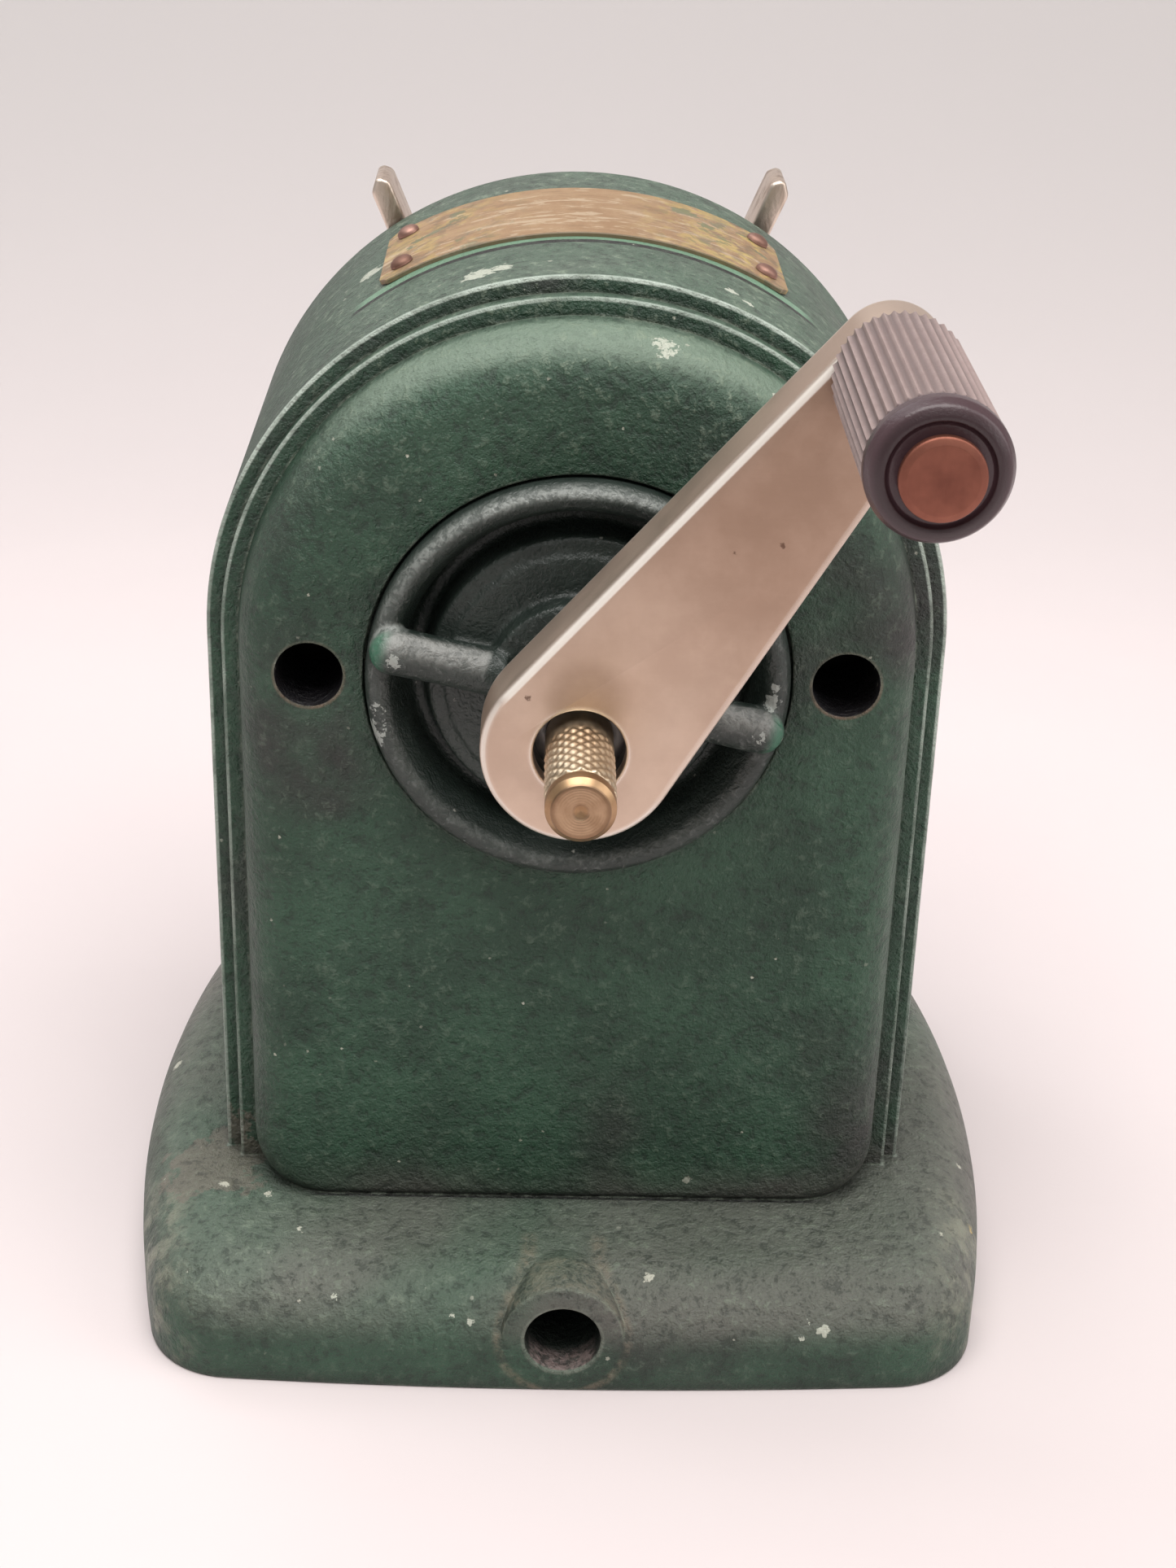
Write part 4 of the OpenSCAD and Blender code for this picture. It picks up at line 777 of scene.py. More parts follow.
def nameplate_metal():
    """Thin brass worn through its colour: scratches, and remains of green and yellow paint at the ends."""
    p = Paint("worn_nameplate")
    stains = p.noise(6, 5, 0.65)
    scratch = p.noise(1.5, 4, 0.7, 0.4, p.stretch((0.3, 1, 0.3), (0, 0, 0.35)))
    fine = p.noise(0.3, 4, 0.6)
    ends = p.zone(p.aside(), 0, 3, 19)
    p.color = p.mix(p.ramp(stains, 0.35, 0.65), (0.485, 0.325, 0.19), (0.415, 0.262, 0.148))
    p.coat(p.ramp(scratch, 0.54, 0.62), (0.70, 0.58, 0.42), 0.6)
    p.coat(p.ramp(scratch, 0.43, 0.36), (0.28, 0.18, 0.10), 0.35)
    faded = p.ramp(p.noise(3.2, 5, 0.7, 0.6), 0.48, 0.58)
    yellow = p.times(p.add(p.times(ends, 0.7), p.zone(p.x, 0, 2, 10, 0, 0.3)), faded)
    p.coat(yellow, (0.44, 0.33, 0.10), 0.8)
    at_ends = p.times(ends, p.ramp(p.noise(4.5, 5, 0.7, 0.5), 0.57, 0.62))
    green = p.largest(p.spots(GREEN_ON_NAMEPLATE, 1.3), at_ends)
    p.coat(green, (0.085, 0.13, 0.07), 0.75)
    p.coat(p.times(ends, p.ramp(p.noise(2.2, 4, 0.7), 0.45, 0.62)), (0.17, 0.135, 0.10), 0.5)
    # Painted shade on the plate's front edge, which faces -Y.
    side = p.facing("-Y", 0.3, 0.7)
    p.coat(side, (0.10, 0.085, 0.05), 0.8)
    metallic = p.less(0.7, p.times(p.largest(yellow, green, side), 0.6))
    rough = p.add(0.46, p.times(stains, 0.15))
    return p.finish(rough, metallic, p.bump(p.add(fine, p.times(scratch, 1.5)), 0.05, 0.7))


def bakelite():
    """Plum-brown moulded resin: glossy on the lip, with painted highlights in a patchy grey on the flutes'
    ribs and painted shade in their grooves.
    """
    p = Paint("plum_bakelite")
    end = p.zone(p.y, KNOB_LOW.y, 3.6, 2.6)
    face = p.zone(p.y, KNOB_LOW.y, 0.5, 0.1)
    fine = p.noise(0.3, 3, 0.6)
    crest = p.zone(p.ring(KNOB_AXIS.x, KNOB_AXIS.z), KNOB_R, -0.42, -0.05)
    # Painted highlight on the flutes' ribs in a patchy grey, leaving the grooves dark plum as painted shade.
    rib_highlight = p.mix(p.ramp(p.noise(2.2, 4, 0.6), 0.35, 0.7), (0.36, 0.26, 0.245), (0.46, 0.35, 0.33))
    p.color = p.mix(p.times(crest, 0.6), (0.17, 0.125, 0.12), rib_highlight)
    p.coat(p.times(crest, p.ramp(fine, 0.4, 0.7, 0.1, 0.6)), (0.33, 0.25, 0.235))
    p.coat(end, p.mix(face, (0.062, 0.034, 0.040), (0.030, 0.014, 0.017)))
    rough = p.add(p.ramp(end, 0.0, 1.0, 0.48, 0.26), p.times(fine, 0.1))
    return p.finish(rough, 0.0, p.bump(fine, 0.06, 0.5), Specular_IOR_Level=0.55)


def tab_metal():
    """Bright old nickel of the levers, browned in streaks."""
    p = Paint("polished_tab")
    streaks = p.noise(1.6, 4, 0.65, 0.4, p.stretch((1, 1, 0.3)))
    fine = p.noise(0.5, 3, 0.6)
    p.color = p.mix(p.ramp(streaks, 0.46, 0.70), (0.70, 0.59, 0.50), (0.42, 0.31, 0.235))
    p.coat(p.edges(0.6), (0.92, 0.87, 0.80), 0.7)
    return p.finish(p.add(0.26, p.times(streaks, 0.2)), 1.0, p.bump(p.add(fine, streaks), 0.08, 0.5))


def pale_paper():
    """The sweep's paper: faintly uneven, with painted shade darkening it up the back."""
    p = Paint("pale_paper")
    paper = p.mix(p.noise(60, 3, 0.5), (0.715, 0.643, 0.648), (0.755, 0.68, 0.68))
    # Painted shade: the paper darkens up the back wall.
    p.color = p.mix(p.ramp(p.y, 0.12, 0.50), paper, (0.49, 0.465, 0.46))
    return p.finish(0.85, 0.0, p.bump(p.noise(0.6), 0.03, 0.3))


PAINTS = {
    "green_paint": green_paint(),
    "dark_green_paint": dark_paint(),
    "nickel": nickel(),
    "steel": metal("machined_steel", (0.42, 0.42, 0.41), (0.28, 0.27, 0.26), 0.38),
    "cutter_steel": metal("hardened_steel", (0.25, 0.25, 0.26), (0.14, 0.14, 0.15), 0.32),
    "brass": metal("dull_brass", (0.60, 0.45, 0.29), (0.40, 0.27, 0.15), 0.36),
    "copper": metal("tarnished_copper", (0.29, 0.115, 0.080), (0.18, 0.068, 0.050), 0.46),
    "bakelite": bakelite(),
}
NAMEPLATE_METAL = nameplate_metal()
SCREW_BRASS = screw_brass()
TAB_METAL = tab_metal()
RIVET_METAL = metal("dulled_rivets", (0.36, 0.215, 0.175), (0.22, 0.125, 0.095), 0.5)
# Painted shade: the rod collars are in nearly black brass.
SHADED_COLLAR_BRASS = metal("collar_brass_painted_shade", (0.030, 0.026, 0.024), (0.014, 0.012, 0.012), 0.6)
SLOT_OF = {row["node"]: row["material_slot"] for row in frame["record"]["subparts"]}
BODY_OF = {node: body for body, nodes in frame["record"]["behaviour"]["bodies"].items() for node in nodes}


def place_piece(piece, node, paint=None, replaced=None):
    """Paints a new piece, and lets it stand for CAD nodes of one body."""
    piece.data.materials.clear()
    piece.data.materials.append(paint or PAINTS[SLOT_OF[node]])
    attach(piece, BODY_OF[node])
    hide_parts(*(replaced or [node]))
    return piece


# ---- Housing ----

SIDE_STEPS = 10
ARCH_STEPS = 96
CORNER_STEPS = 8
BOTTOM_STEPS = 8


def tombstone(inset, y, foot, corner):
    """The housing's outline at a depth: up the left, over the arch, down the right, along the bottom."""
    r = ARCH_R - inset
    points = []
    for i in range(SIDE_STEPS):
        points.append((-r, foot + corner + (ARCH_Z - foot - corner) * i / SIDE_STEPS))
    points += arc(0, ARCH_Z, r, 180, 0, ARCH_STEPS)
    for i in range(1, SIDE_STEPS):
        points.append((r, ARCH_Z + (foot + corner - ARCH_Z) * i / SIDE_STEPS))
    points += arc(r - corner, foot + corner, corner, 0, -90, CORNER_STEPS)
    for i in range(1, BOTTOM_STEPS):
        points.append(((r - corner) * (1 - 2 * i / BOTTOM_STEPS), foot))
    points += arc(corner - r, foot + corner, corner, 270, 180, CORNER_STEPS)[:-1]
    return [(x, y, z) for x, z in points]


def housing_body():
    """Arched shell, its two steps, and the panel with a well rounded edge."""
    edge = 0.35 * MM
    panel_corner = 8 * MM
    levels = [
        (edge, BACK_Y), (0, BACK_Y - edge), (0, FRONT_Y + edge), (edge * 0.3, FRONT_Y + edge * 0.3),
        (edge, FRONT_Y), (RIDGE_INSET, FRONT_Y), (RIDGE_INSET, RIDGE_Y + edge),
        (RIDGE_INSET + edge * 0.3, RIDGE_Y + edge * 0.3), (RIDGE_INSET + edge, RIDGE_Y),
    ]
    loops = [tombstone(inset, y, FOOT_Z, 1.0 * MM) for inset, y in levels]
    loops.append(tombstone(PANEL_INSET, RIDGE_Y, PANEL_FOOT_Z, panel_corner))
    for a in range(0, 91, 10):
        s, c = math.sin(math.radians(a)), math.cos(math.radians(a))
        deeper = PANEL_DRAFT + PANEL_ROUND * (1 - c)
        y = PANEL_Y + PANEL_ROUND * (1 - s)
        foot = PANEL_FOOT_Z + deeper * 0.5
        loops.append(tombstone(PANEL_INSET + deeper, y, foot, panel_corner - deeper * 0.55))
    return loft("housing_body", loops, 30)


def base_outline(inset, z):
    """Rounded rectangle with bowed sides, smaller by inset."""
    side_cx = BASE_SIDE_R - BASE_HALF_W
    end_cy = BASE_END_R - BASE_HALF_D
    corner = BASE_CORNER
    # The corner circle's centre lies at the corner radius inside both bows: a first guess, then each in turn
    cy = BASE_HALF_D - corner - 1.2 * MM
    cx = math.sqrt((BASE_SIDE_R - corner) ** 2 - cy ** 2) - side_cx
    cy = math.sqrt((BASE_END_R - corner) ** 2 - cx ** 2) - end_cy
    side_a = math.degrees(math.atan2(cy, cx + side_cx))
    end_a = math.degrees(math.atan2(cy + end_cy, cx))
    quarter = arc(-side_cx, 0, BASE_SIDE_R - inset, 0, side_a, 14)
    quarter += arc(cx, cy, corner - inset, side_a, end_a, 14)[1:]
    quarter += arc(0, -end_cy, BASE_END_R - inset, end_a, 90, 14)[1:]
    half = quarter + [(-x, y) for x, y in reversed(quarter[:-1])]
    full = half + [(x, -y) for x, y in reversed(half[1:-1])]
    return [(x, y, z) for x, y in full]


def housing_base():
    """The base, with a small edge below and a wide round above."""
    start = BASE_H - BASE_ROUND
    levels = [(0.5 * MM, 0), (0.12 * MM, 0.12 * MM), (0, 0.5 * MM), (0, start * 0.6)]
    for a in range(0, 91, 9):
        s, c = math.sin(math.radians(a)), math.cos(math.radians(a))
        levels.append((BASE_ROUND * (1 - c), start + BASE_ROUND * s))
    return loft("housing_base", [base_outline(inset, z) for inset, z in levels], 30)


BOSS_PROFILE = [(-0.7, 0), (-0.2, 0.2), (0, 0.7), (0, 5.5), (-0.5, 8), (-1.6, 10), (-3.4, 12)]


def clamp_boss():
    """The boss round the clamp's hole."""
    place = Vector((0, -BASE_HALF_D + 0.05 * MM, CLAMP_Z))
    return turned("boss", millimetres(BOSS_PROFILE, BOSS_R), place, "+Y", 72)


def rimmed_cutter(name, x, z, r, y0, depth, rim, segments=64):
    """Cutter along Y for a hole whose mouth at y0 is rounded by rim."""
    profile = [(r + rim, -1.0 * MM), (r + rim, 0)]
    profile += [(r + rim * (1 - math.sin(a)), rim * (1 - math.cos(a))) for a in (0.4, 0.8, 1.2, math.pi / 2)]
    profile += [(r, depth)]
    return turned(name, profile, Vector((x, y0, z)), "+Y", segments)


def hollow_out(body):
    """The cavity, then the rods' tubes and the rear cover's lugs inside it."""
    deep = PANEL_INSET + WALL
    inner = [(WALL, BACK_Y + 1 * MM), (WALL, FRONT_Y), (deep, FRONT_Y), (deep, PANEL_Y + WALL)]
    loops = [tombstone(inset, y, BASE_H, 1.5 * MM) for inset, y in inner]
    combine(body, [loft("cavity", loops)], "DIFFERENCE")
    tubes = [rod("tube", s * ROD_X, AXIS_Z, TUBE_R, PANEL_Y + WALL - 1 * MM, COVER_LOW.y) for s in (-1, 1)]
    tubes += [rod("lug", x * MM, z * MM, LUG_R, COVER_LOW.y - 12 * MM, COVER_LOW.y) for x, z in LUGS]
    combine(body, tubes, "UNION")


def housing_cutters():
    """The rods' bores, the cap's seat, the hatch behind it, the clamp's hole and the base's pockets."""
    depth = COVER_LOW.y - PANEL_Y + 1 * MM
    tools = []
    for s in (-1, 1):
        tools.append(rimmed_cutter("rod_hole", s * ROD_X, AXIS_Z, ROD_BORE_R, PANEL_Y, depth, 0.2 * MM))
    tools.append(rimmed_cutter("seat", 0, AXIS_Z, SEAT_R, PANEL_Y, 2.0 * MM, 0.25 * MM, 128))
    tools.append(rod("hatch", 0, AXIS_Z, HATCH_R, PANEL_Y - 1 * MM, PANEL_Y + WALL + 1 * MM, 128))
    mouth = -BASE_HALF_D + 0.05 * MM
    tools.append(rimmed_cutter("clamp_hole", 0, CLAMP_Z, CLAMP_R, mouth, CLAMP_DEPTH, 0.35 * MM))
    for s in (-1, 1):
        low = (s * 25 * MM - 16 * MM, -40 * MM, -1 * MM)
        high = (s * 25 * MM + 16 * MM, 40 * MM, 8.6 * MM)
        tools.append(block("pocket", low, high))
    return tools


def make_housing():
    """The whole casting."""
    body = housing_body()
    combine(body, [housing_base(), clamp_boss()], "UNION")
    hollow_out(body)
    combine(body, housing_cutters(), "DIFFERENCE")
    combine(body, [plate_recess()], "DIFFERENCE")
    tidy_mesh(body, 28)
    body.name = "housing_shell"
    return place_piece(body, "housing", replaced=["housing", "base", "clamp_socket"])


def plate_recess():
    """The shallow bed of the nameplate: flatter than the arch, so it cuts deepest in the middle."""
    half = 25.3 * MM
    y0, y1 = PLATE_LOW.y - BED_FRONT, PLATE_HIGH.y + 0.5 * MM
    reach = math.degrees(math.asin(half / PLATE_R))
    under = arc(0, PLATE_ZC, PLATE_R, 90 + reach, 90 - reach, 40)
    over = [(half, ARCH_Z + ARCH_R + 2 * MM), (-half, ARCH_Z + ARCH_R + 2 * MM)]
    return loft("recess", [[(x, y, z) for x, z in under + over] for y in (y0, y1)])


def make_nameplate():
    """A bent strip with rounded corners."""
    half = (PLATE_HIGH.x - PLATE_LOW.x) / 2
    reach = math.asin(half / PLATE_R)
    inner, outer = PLATE_R, PLATE_R + PLATE_T
    soft = 0.12 * MM
    corner = 1.6 * MM
    steps = 48
    loops = []
    for i in range(steps + 1):
        t = -reach + 2 * reach * i / steps
        from_end = (reach - abs(t)) * PLATE_R
        trim = 0.0
        if from_end < corner:
            trim = corner - math.sqrt(max(0.0, corner ** 2 - (corner - from_end) ** 2))
        y0, y1 = PLATE_LOW.y + trim, PLATE_HIGH.y - trim
        section = [(y0 + soft, outer), (y1 - soft, outer), (y1, outer - soft)]
        section += [(y1, inner), (y0, inner), (y0, outer - soft)]
        loops.append([(r * math.sin(t), y, PLATE_ZC + r * math.cos(t)) for y, r in section])
    return place_piece(loft("nameplate_strip", loops, 40), "nameplate", NAMEPLATE_METAL)


def make_plate_rivets():
    """Four domed heads, square to the bent plate."""
    low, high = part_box("nameplate_rivets")
    r, h = 1.35 * MM, 0.95 * MM
    spread = math.asin(20.2 * MM / PLATE_R)
    heads = []
    for s in (-1, 1):
        for y in (low.y + r, high.y - r):
            tilt = Matrix.Translation((0, y, PLATE_ZC)) @ Matrix.Rotation(s * spread, 4, "Y")
            profile = [(0.7 * MM, -1.0 * MM), (0.7 * MM, 0), (r, 0.05 * MM)]
            for a in (0.2, 0.6, 1.0, 1.3, 1.5):
                profile.append((r * math.cos(a), h * (0.25 + 0.75 * math.sin(a))))
            head = turned("head", profile, Vector((0, 0, PLATE_R + PLATE_T)), "+Z", 32)
            head.data.transform(tilt)
            heads.append(head)
    return place_piece(join("nameplate_rivet_heads", heads), "nameplate_rivets", RIVET_METAL)


# ---- Bearing cap ----

# Radius, distance behind the face and rounding, in millimetres
CAP_OUTLINE = [
    (6.6, -0.7), (9.85, -0.7, 0.5), (9.95, 1.9, 0.6), (14.1, 1.9, 0.3), (14.5, 2.4, 0.3), (16.2, 2.5, 0.6),
    (16.7, 6.9, 0.9), (18.4, 6.9, 1.0), (19.0, 2.8, 1.6), (20.2, 0.2, 1.2), (21.3, -0.55, 0.9),
    (22.3, 0.1, 0.9), (22.8, 1.4, 0.7), (22.8, 4.15), (21.2, 4.15), (21.2, 9.7), (6.6, 9.7),
]
BAR_R = 2.6 * MM
BAR_START = 8 * MM
BAR_END = CAP_R - 0.1 * MM
BAR_TILT = math.radians(12)


def make_cap():
    """Turned cap and its finger bar, melted together like one casting."""
    outline = rounded(millimetres(CAP_OUTLINE, 0, CAP_FACE_Y), 4)
    steps = 128
    verts = []
    turns = [2 * math.pi * k / steps for k in range(steps)]
    for r, depth in outline:
        verts += [(r * math.cos(a), depth, AXIS_Z + r * math.sin(a)) for a in turns]
    faces = []
    for i in range(len(outline)):
        below, above = i * steps, ((i + 1) % len(outline)) * steps
        for k in range(steps):
            beside = (k + 1) % steps
            faces.append((below + k, below + beside, above + beside, above + k))
    cap = mesh_object("bearing_cap_casting", verts, faces, 40)
    combine(cap, [finger_bar(side) for side in (-1, 1)], "UNION")
    remesh = cap.modifiers.new("melt", "REMESH")
    remesh.mode = "VOXEL"
    remesh.voxel_size = 0.28 * MM
    soft = cap.modifiers.new("soften", "SMOOTH")
    soft.factor = 0.5
    soft.iterations = 6
    apply_modifiers(cap)
    shade(cap, 60)
    return place_piece(cap, "bearing_cap")


def finger_bar(side):
    """Half of the bar across the cap, with a rounded end."""
    r, start, length = BAR_R, BAR_START, BAR_END - BAR_START
    profile = [(0.05 * MM, 0), (r * 0.9, 0), (r, 0.4 * MM), (r * 0.96, length * 0.5), (r, length - r)]
    profile += [(r * math.cos(a), length - r + r * math.sin(a)) for a in (0.3, 0.6, 0.9, 1.2, 1.4, 1.55)]
    bar = turned("bar", profile, Vector((0, 0, start)), "+Z", 32)
    place = Matrix.Translation((0, CAP_FACE_Y - 0.35 * MM, AXIS_Z)) @ Matrix.Rotation(BAR_TILT, 4, "Y")
    bar.data.transform(place @ Matrix.Rotation(side * math.pi / 2, 4, "Y"))
    return bar


# ---- Crank ----

def between(start, end, steps=12):
    """Points on a straight line, its ends left out."""
    return [tuple(a + (b - a) * i / steps for a, b in zip(start, end)) for i in range(1, steps)]


def arm_outline(inset, depth, matrix):
    """Outline of the arm, smaller by inset: two rounds and their tangents, depth towards the front."""
    r1, r2 = HUB_R - inset, TIP_R - inset
    lean = math.degrees(math.asin((r1 - r2) / CRANK_THROW))
    hub = arc(0, 0, r1, 90 - lean, 270 + lean, 48)
    tip = arc(CRANK_THROW, 0, r2, lean - 90, 90 - lean, 32)
    points = hub + between(hub[-1], tip[0]) + tip + between(tip[-1], hub[0])
    return [matrix @ Vector((x, y, depth)) for x, y in points]


def make_arm():
    """Pressed channel: a face with a rounded edge, folded sides and a hollow back."""
    place = on_crank(ARM_BACK_Y)
    depth = ARM_BACK_Y - ARM_Y
    bend, skin, edge = 0.75 * MM, 1.5 * MM, 0.2 * MM
    turns = (0.3, 0.6, 0.9, 1.2, math.pi / 2)
    levels = [(bend, depth)]
    levels += [(bend * (1 - math.sin(a)), depth - bend * (1 - math.cos(a))) for a in turns]
    levels += [(0, edge), (edge, 0), (skin - edge, 0), (skin, edge)]
    levels += [(skin, depth - 2.6 * MM), (skin + 0.6 * MM, depth - 2.0 * MM)]
    arm = loft("crank_arm_channel", [arm_outline(inset, d, place) for inset, d in levels], 40)
    hole = rimmed_cutter("hole", 0, AXIS_Z, 4.7 * MM, ARM_Y, 9 * MM, 0.3 * MM, 72)
    pin = rod("pin_hole", KNOB_AXIS.x, KNOB_AXIS.z, 1.8 * MM, ARM_Y - 1 * MM, ARM_BACK_Y + 1 * MM, 32)
    combine(arm, [hole, pin], "DIFFERENCE")
    tidy_mesh(arm, 35)
    return place_piece(arm, "crank_arm")


FLUTES = 40
FLUTE_DEPTH = 0.34 * MM
FLUTED_FROM_R = 5.9 * MM
GRIP_BORE_R = 1.9 * MM
GRIP_CREST_R = KNOB_R - 0.05 * MM
LIP_LENGTH = 3.1 * MM

# Radius, distance from the grip's end or the arm's back and rounding, in millimetres
LIP_OUTLINE = [
    (1.9, -3.1), (5.75, -3.1, 0), (6.45, -2.6, 0.4), (6.45, -1.4, 0.8), (6.0, -0.45, 0.7), (5.15, 0, 0.7),
    (4.75, -0.05, 0.3), (4.4, -0.45, 0.2), (1.9, -0.45),
]
RIVET_HEAD = [
    (1.75, -1.6), (3.3, -1.6, 0.2), (3.78, -1.1, 0.3), (3.78, -0.35, 0.3), (3.1, -0.06, 0.3), (0.2, 0),
]
RIVET_BACK = [(0.2, 1.6), (2.2, 1.7, 0.3), (2.8, 2.6, 0.3), (2.8, 4.6, 0.1), (1.8, 4.7)]


def flute(r, d, a):
    """Radius of the fluted grip: round-bottomed grooves between narrow ribs, the same at every distance."""
    if r < FLUTED_FROM_R:
        return r
    return r - FLUTE_DEPTH * (0.5 - 0.5 * math.cos(a * FLUTES)) ** 0.7


def make_knob():
    """Fluted sleeve and its smooth lip, one moulding."""
    start = ARM_Y - 0.2 * MM
    length = start - KNOB_LOW.y
    lip = length - LIP_LENGTH
    place = Vector((KNOB_AXIS.x, start, KNOB_AXIS.z))
    sleeve = [(GRIP_BORE_R, 0), (KNOB_R - 0.5 * MM, 0), (GRIP_CREST_R, 0.5 * MM)]
    sleeve += [(GRIP_CREST_R, length * t) for t in (0.2, 0.4, 0.6, 0.8)] + [(GRIP_CREST_R, lip)]
    sleeve += [(KNOB_R - 0.6 * MM, lip + 0.35 * MM), (GRIP_BORE_R, lip + 0.35 * MM)]
    grip = turned("grip", sleeve, place, "-Y", FLUTES * 8, 50, flute)
    end = turned("lip", rounded(millimetres(LIP_OUTLINE, 0, length)), place, "-Y", 96, 40)
    return place_piece(join("grip_moulding", [grip, end], 40), "knob")


def make_knob_rivet():
    """The axle's broad head on the grip and its closed end inside the arm."""
    total = ARM_BACK_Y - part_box("knob_rivet")[0].y
    profile = rounded(millimetres(RIVET_BACK), 3) + rounded(millimetres(RIVET_HEAD, 0, total), 4)
    place = Vector((KNOB_AXIS.x, ARM_BACK_Y, KNOB_AXIS.z))
    return place_piece(turned("knob_axle_rivet", profile, place, "-Y", 64, 40), "knob_rivet")


KNURL_START = 5.2 * MM
KNURL_END = 14.8 * MM
KNURL_AROUND = 14
KNURL_DEPTH = 0.27 * MM
KNURL_STEPS = 90

# Radius from the screw's own, distance from a datum and rounding, in millimetres
SCREW_START = [(-2.2, 0), (-0.4, 0), (-0.1, 0.3), (-0.1, 4.9)]
SCREW_NECK = [(-0.35, 0.1), (-0.35, 0.4, 0.1), (-0.1, 0.6, 0.1)]
SCREW_TIP = [(-0.1, -0.75, 0.2), (-0.8, 0, 0.2), (-2.7, -0.04, 0.2), (-3.5, -0.5)]


def knurl(r, d, a):
    """Diamond knurl between the screw's plain ends: rows of small pyramids."""
    if d < KNURL_START or d > KNURL_END or r < SCREW_R - 0.2 * MM:
        return r
    pitch = 2 * math.pi * SCREW_R / KNURL_AROUND
    u = a * KNURL_AROUND / (2 * math.pi)
    v = d / pitch
    bead = abs(math.sin(math.pi * (u + v))) * abs(math.sin(math.pi * (u - v)))
    return r - KNURL_DEPTH * (1 - bead ** 0.8)


def make_adjusting_screw():
    """Knurled head with a plain neck and tip, its stem and its collar."""
    low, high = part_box("adjusting_screw")
    start, length = SCREW_FRONT_Y, SCREW_FRONT_Y - low.y
    profile = millimetres(SCREW_START, SCREW_R)
    for i in range(KNURL_STEPS + 1):
        profile.append((SCREW_R - 0.02 * MM, KNURL_START + (KNURL_END - KNURL_START) * i / KNURL_STEPS))
    neck = millimetres(SCREW_NECK, SCREW_R, KNURL_END)
    profile += rounded(neck + millimetres(SCREW_TIP, SCREW_R, length), 3)
    head = turned("screw_head", profile, Vector((0, start, AXIS_Z)), "-Y", KNURL_AROUND * 8, 50, knurl)
    stem = rod("screw_stem", 0, AXIS_Z, 1.6 * MM, start - 0.2 * MM, high.y, 32)
    collar = rod("screw_collar", 0, AXIS_Z, 2.8 * MM, -39.9 * MM, -38.7 * MM, 32)
    screw = join("adjusting_screw_knurled", [head, stem, collar], 50)
    return place_piece(screw, "adjusting_screw", SCREW_BRASS)


# ---- Pinch levers ----

def soften(obj, width, segments, angle):
    """Rounds the edges sharper than angle, in degrees."""
    bevel = obj.modifiers.new("soften", "BEVEL")
    bevel.width = width
    bevel.segments = segments
    bevel.limit_method = "ANGLE"
    bevel.angle_limit = math.radians(angle)
    bevel.use_clamp_overlap = True
    apply_modifiers(obj)
    shade(obj)


def welded(node, whole_faces=True):
    """A copy of a CAD node's own shape with its points joined and, if asked, its flat faces made whole."""
    obj = add_object(node + "_finished", frame["nodes"][node].data.copy())
    bm = bmesh.new()
    bm.from_mesh(obj.data)
    bmesh.ops.remove_doubles(bm, verts=bm.verts, dist=1e-6)
    if whole_faces:
        bmesh.ops.dissolve_limit(bm, angle_limit=math.radians(1), verts=bm.verts, edges=bm.edges)
    bm.to_mesh(obj.data)
    bm.free()
    return obj


def refined(node, width, paint=None):
    """A CAD node's own shape with its edges rounded, as a finished piece."""
    obj = welded(node)
    soften(obj, width, 2, 30)
    return place_piece(obj, node, paint)


# The finger tabs: TAB_TOP_X and TAB_TOP_Z are the middle of a tab's top, TAB_SEAM where its lever's arm ends
TAB_LEN = 13 * MM
TAB_W = 8.2 * MM
TAB_TILT = math.radians(22)
TAB_TOP_Z = 120.2 * MM
TAB_TOP_X = 25.0 * MM
TAB_SEAM = 4.5 * MM
TAB_INSET = 0.06 * MM
TAB_OUTLINE = [
    (1.5, -1.25, 0), (9.0, -1.25, 3.0), (12.2, -1.2, 1.1), (12.95, -0.3, 0.6), (12.95, 0.4, 0.6),
    (11.6, 1.45, 1.4), (6.5, 1.35, 2.0), (3.5, 1.25, 0.5), (1.5, 1.25, 0),
]


def cut_above(obj, point, normal):
    """Removes what lies beyond a plane and closes the cut."""
    bm = bmesh.new()
    bm.from_mesh(obj.data)
    everything = bm.verts[:] + bm.edges[:] + bm.faces[:]
    bmesh.ops.bisect_plane(bm, geom=everything, dist=1e-7, plane_co=point, plane_no=normal, clear_outer=True)
    bmesh.ops.holes_fill(bm, edges=[e for e in bm.edges if e.is_boundary])
    bm.to_mesh(obj.data)
    bm.free()


def make_lever(side, node):
    """A lever with its finger tab: a strip that swells outward and rounds over at the top."""
    low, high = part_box(node)
    along = Vector((side * math.sin(TAB_TILT), 0, math.cos(TAB_TILT)))
    outward = Vector((side * math.cos(TAB_TILT), 0, -math.sin(TAB_TILT)))
    foot = Vector((side * TAB_TOP_X, 0, TAB_TOP_Z)) - along * TAB_LEN
    y0, y1 = (high.y - TAB_W, high.y - TAB_INSET) if side < 0 else (low.y + TAB_INSET, low.y + TAB_W)
    arm = welded(node, whole_faces=False)
    cut_above(arm, foot + along * TAB_SEAM, along)
    shade(arm, 30)
    outline = [foot + along * u * MM + outward * v * MM for u, v in rounded(TAB_OUTLINE, 5)]
    tab = loft("tab", [[point + Vector((0, y, 0)) for point in outline] for y in (y0, y1)], 30)
    soften(tab, 0.45 * MM, 3, 40)
    return place_piece(join(node + "_finished", [arm, tab], 40), node, TAB_METAL)


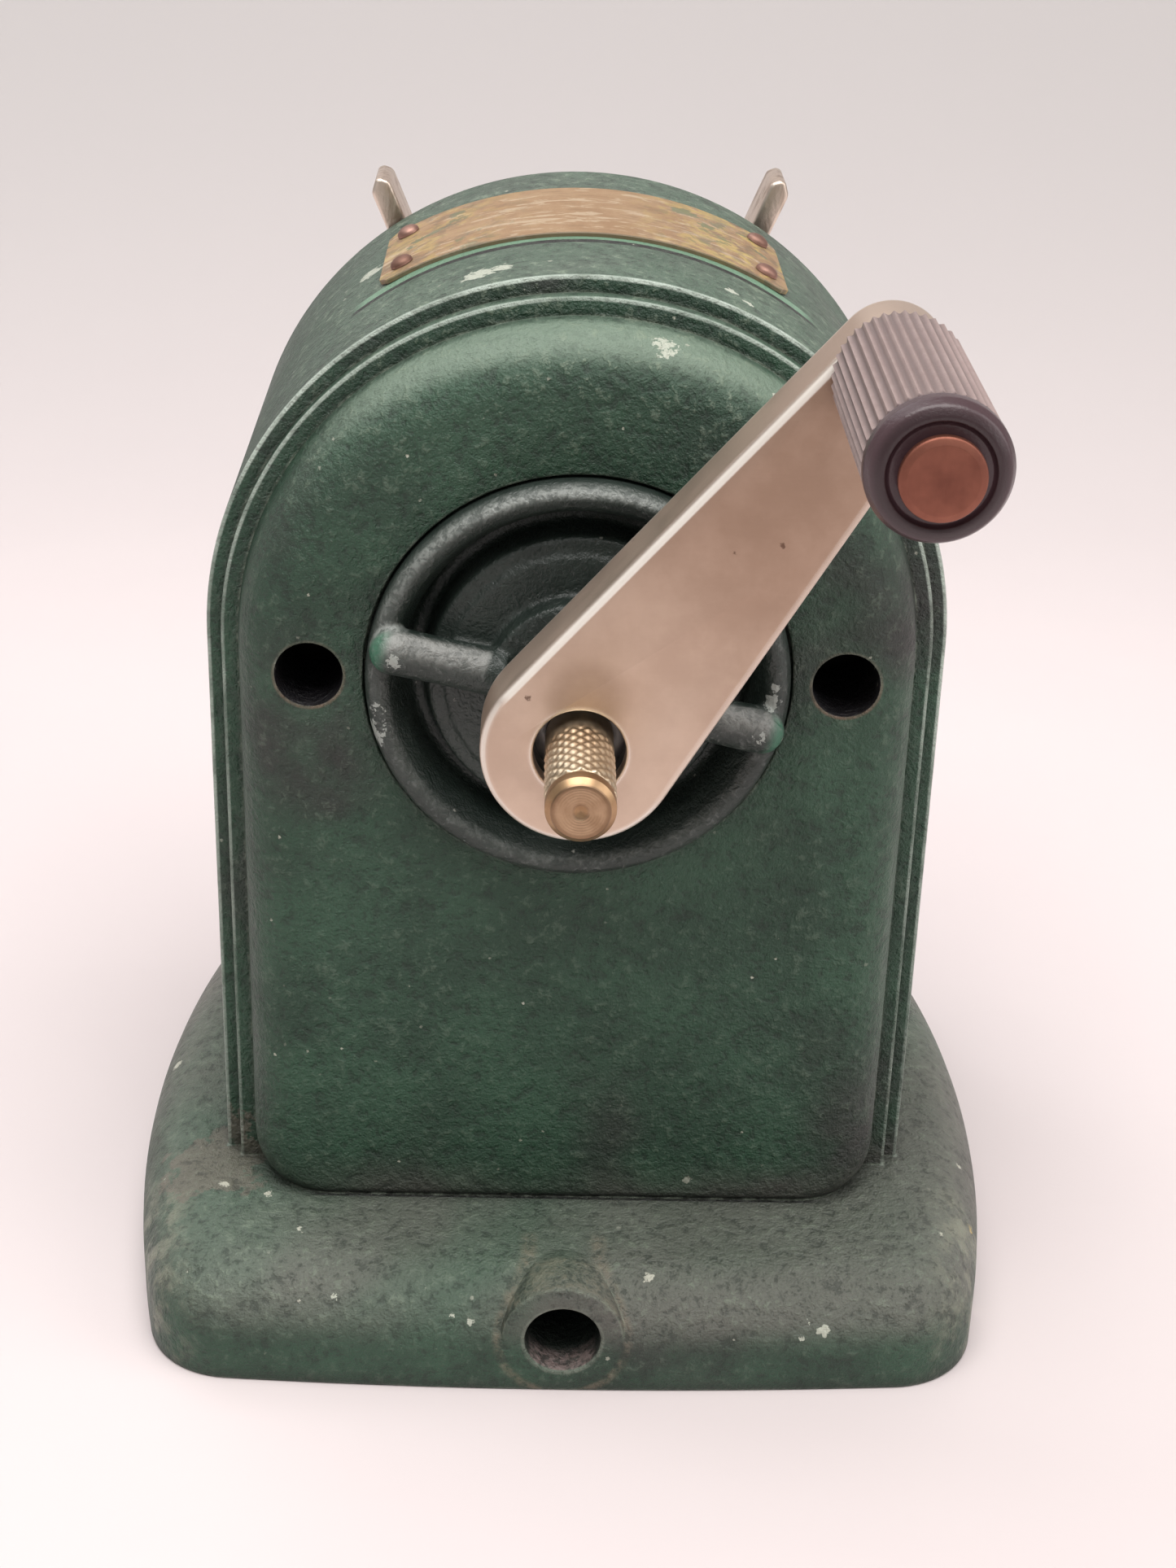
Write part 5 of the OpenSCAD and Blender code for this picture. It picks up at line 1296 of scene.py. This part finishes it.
# Nodes that keep the CAD's shape, and how far their edges are rounded, in millimetres
FINISHED_NODES = {
    "rear_cover": 0.4, "cover_screws": 0.15, "pencil_guide": 0.2, "rod_bushes": 0.15, "ring_gear": 0.1,
    "cap_bush": 0.2, "crank_hub": 0.3, "hollow_shaft": 0.15, "cutter_carrier": 0.2, "carriage_plate": 0.4,
    "guide_rods": 0.2, "rod_nuts": 0.2, "lever_pins": 0.15, "lever_plate": 0.25, "pin_clips": 0.12,
    "left_jaw": 0.25, "right_jaw": 0.25, "drawer_tray": 0.15, "drawer_front": 0.5, "drawer_knob": 0.5,
}


# ---- The stage ----

CAMERA_PLACE = Vector((-4.81, -271.8, 186.76)) * MM
CAMERA_YAW = math.radians(1.46)
CAMERA_PITCH = math.radians(-25.93)
CAMERA_ROLL = math.radians(1.78)
CAMERA_LENS = 56.85
WORLD_COLOR = (1.0, 0.97, 0.95)
WORLD_STRENGTH = 0.42

# Place, target and size in metres, power in watts, colour
LIGHTS = {
    "key": ((-0.04, -0.25, 0.9), (0, 0, 0.05), (0.9, 0.7), 9.0, (1.0, 0.98, 0.96)),
    "fill": ((0.75, -0.25, 0.5), (0, 0, 0.06), (0.6, 0.8), 2.8, (1.0, 0.97, 0.96)),
    "back": ((-0.3, 0.5, 0.7), (0, 0, 0.08), (0.8, 0.5), 2.6, (0.97, 0.98, 1.0)),
}


def make_camera():
    """Aims by yaw and pitch, then rolls about the line of sight."""
    level = math.cos(CAMERA_PITCH)
    forward = Vector((math.sin(CAMERA_YAW) * level, math.cos(CAMERA_YAW) * level, math.sin(CAMERA_PITCH)))
    right = Vector((math.cos(CAMERA_YAW), -math.sin(CAMERA_YAW), 0))
    up = right.cross(forward)
    tilted_right = right * math.cos(CAMERA_ROLL) + up * math.sin(CAMERA_ROLL)
    tilted_up = up * math.cos(CAMERA_ROLL) - right * math.sin(CAMERA_ROLL)
    camera = add_object("camera", bpy.data.cameras.new("camera"))
    turn = Matrix((tilted_right, tilted_up, -forward)).transposed()
    camera.matrix_world = Matrix.Translation(CAMERA_PLACE) @ turn.to_4x4()
    camera.data.sensor_width = 36
    camera.data.lens = CAMERA_LENS
    camera.data.clip_start = 0.01
    bpy.context.scene.camera = camera


def area_light(name, place, target, size, power, color):
    """A soft rectangular light aimed at a point."""
    light = bpy.data.lights.new(name, "AREA")
    light.shape = "RECTANGLE"
    light.size, light.size_y = size
    light.energy = power
    light.color = color
    obj = add_object(name, light)
    obj.location = place
    obj.rotation_mode = "QUATERNION"
    obj.rotation_quaternion = (Vector(target) - Vector(place)).to_track_quat("-Z", "Y")


def make_sweep():
    """Pale paper: floor, a wide bend and a back wall."""
    width, front, bend_y, bend_r, top = 1.8, -1.0, 0.24, 0.30, 1.6
    bend = [(bend_y + x, bend_r + y) for x, y in arc(0, 0, bend_r, -90, 0, 24)]
    section = [(front, 0), (-0.3, 0), (0.0, 0)] + bend + [(bend_y + bend_r, top)]
    verts = [(s * width, y, z) for y, z in section for s in (-1, 1)]
    faces = [(2 * i, 2 * i + 1, 2 * i + 3, 2 * i + 2) for i in range(len(section) - 1)]
    mesh = bpy.data.meshes.new("sweep")
    mesh.from_pydata(verts, [], faces)
    mesh.shade_smooth()
    sweep = add_object("sweep", mesh)
    sweep.data.materials.append(pale_paper())


def make_light():
    """A faint warm world and three soft lights."""
    world = bpy.data.worlds.new("studio")
    bpy.context.scene.world = world
    world.use_nodes = True
    background = world.node_tree.nodes["Background"]
    background.inputs["Color"].default_value = (*WORLD_COLOR, 1)
    background.inputs["Strength"].default_value = WORLD_STRENGTH
    for name, (place, target, size, power, color) in LIGHTS.items():
        area_light(name, place, target, size, power, color)
    bpy.context.scene.view_settings.view_transform = "Standard"
    bpy.context.scene.view_settings.exposure = 0.0


make_camera()
make_sweep()
make_light()
make_housing()
make_nameplate()
make_plate_rivets()
make_cap()
make_arm()
make_knob()
make_knob_rivet()
make_adjusting_screw()
make_lever(-1, "left_lever")
make_lever(1, "right_lever")
for name, width in FINISHED_NODES.items():
    refined(name, width * MM)
refined("rod_collars", 0.3 * MM, SHADED_COLLAR_BRASS)

for name, node in frame["nodes"].items():
    node.data.materials.clear()
    node.data.materials.append(PAINTS[SLOT_OF[name]])
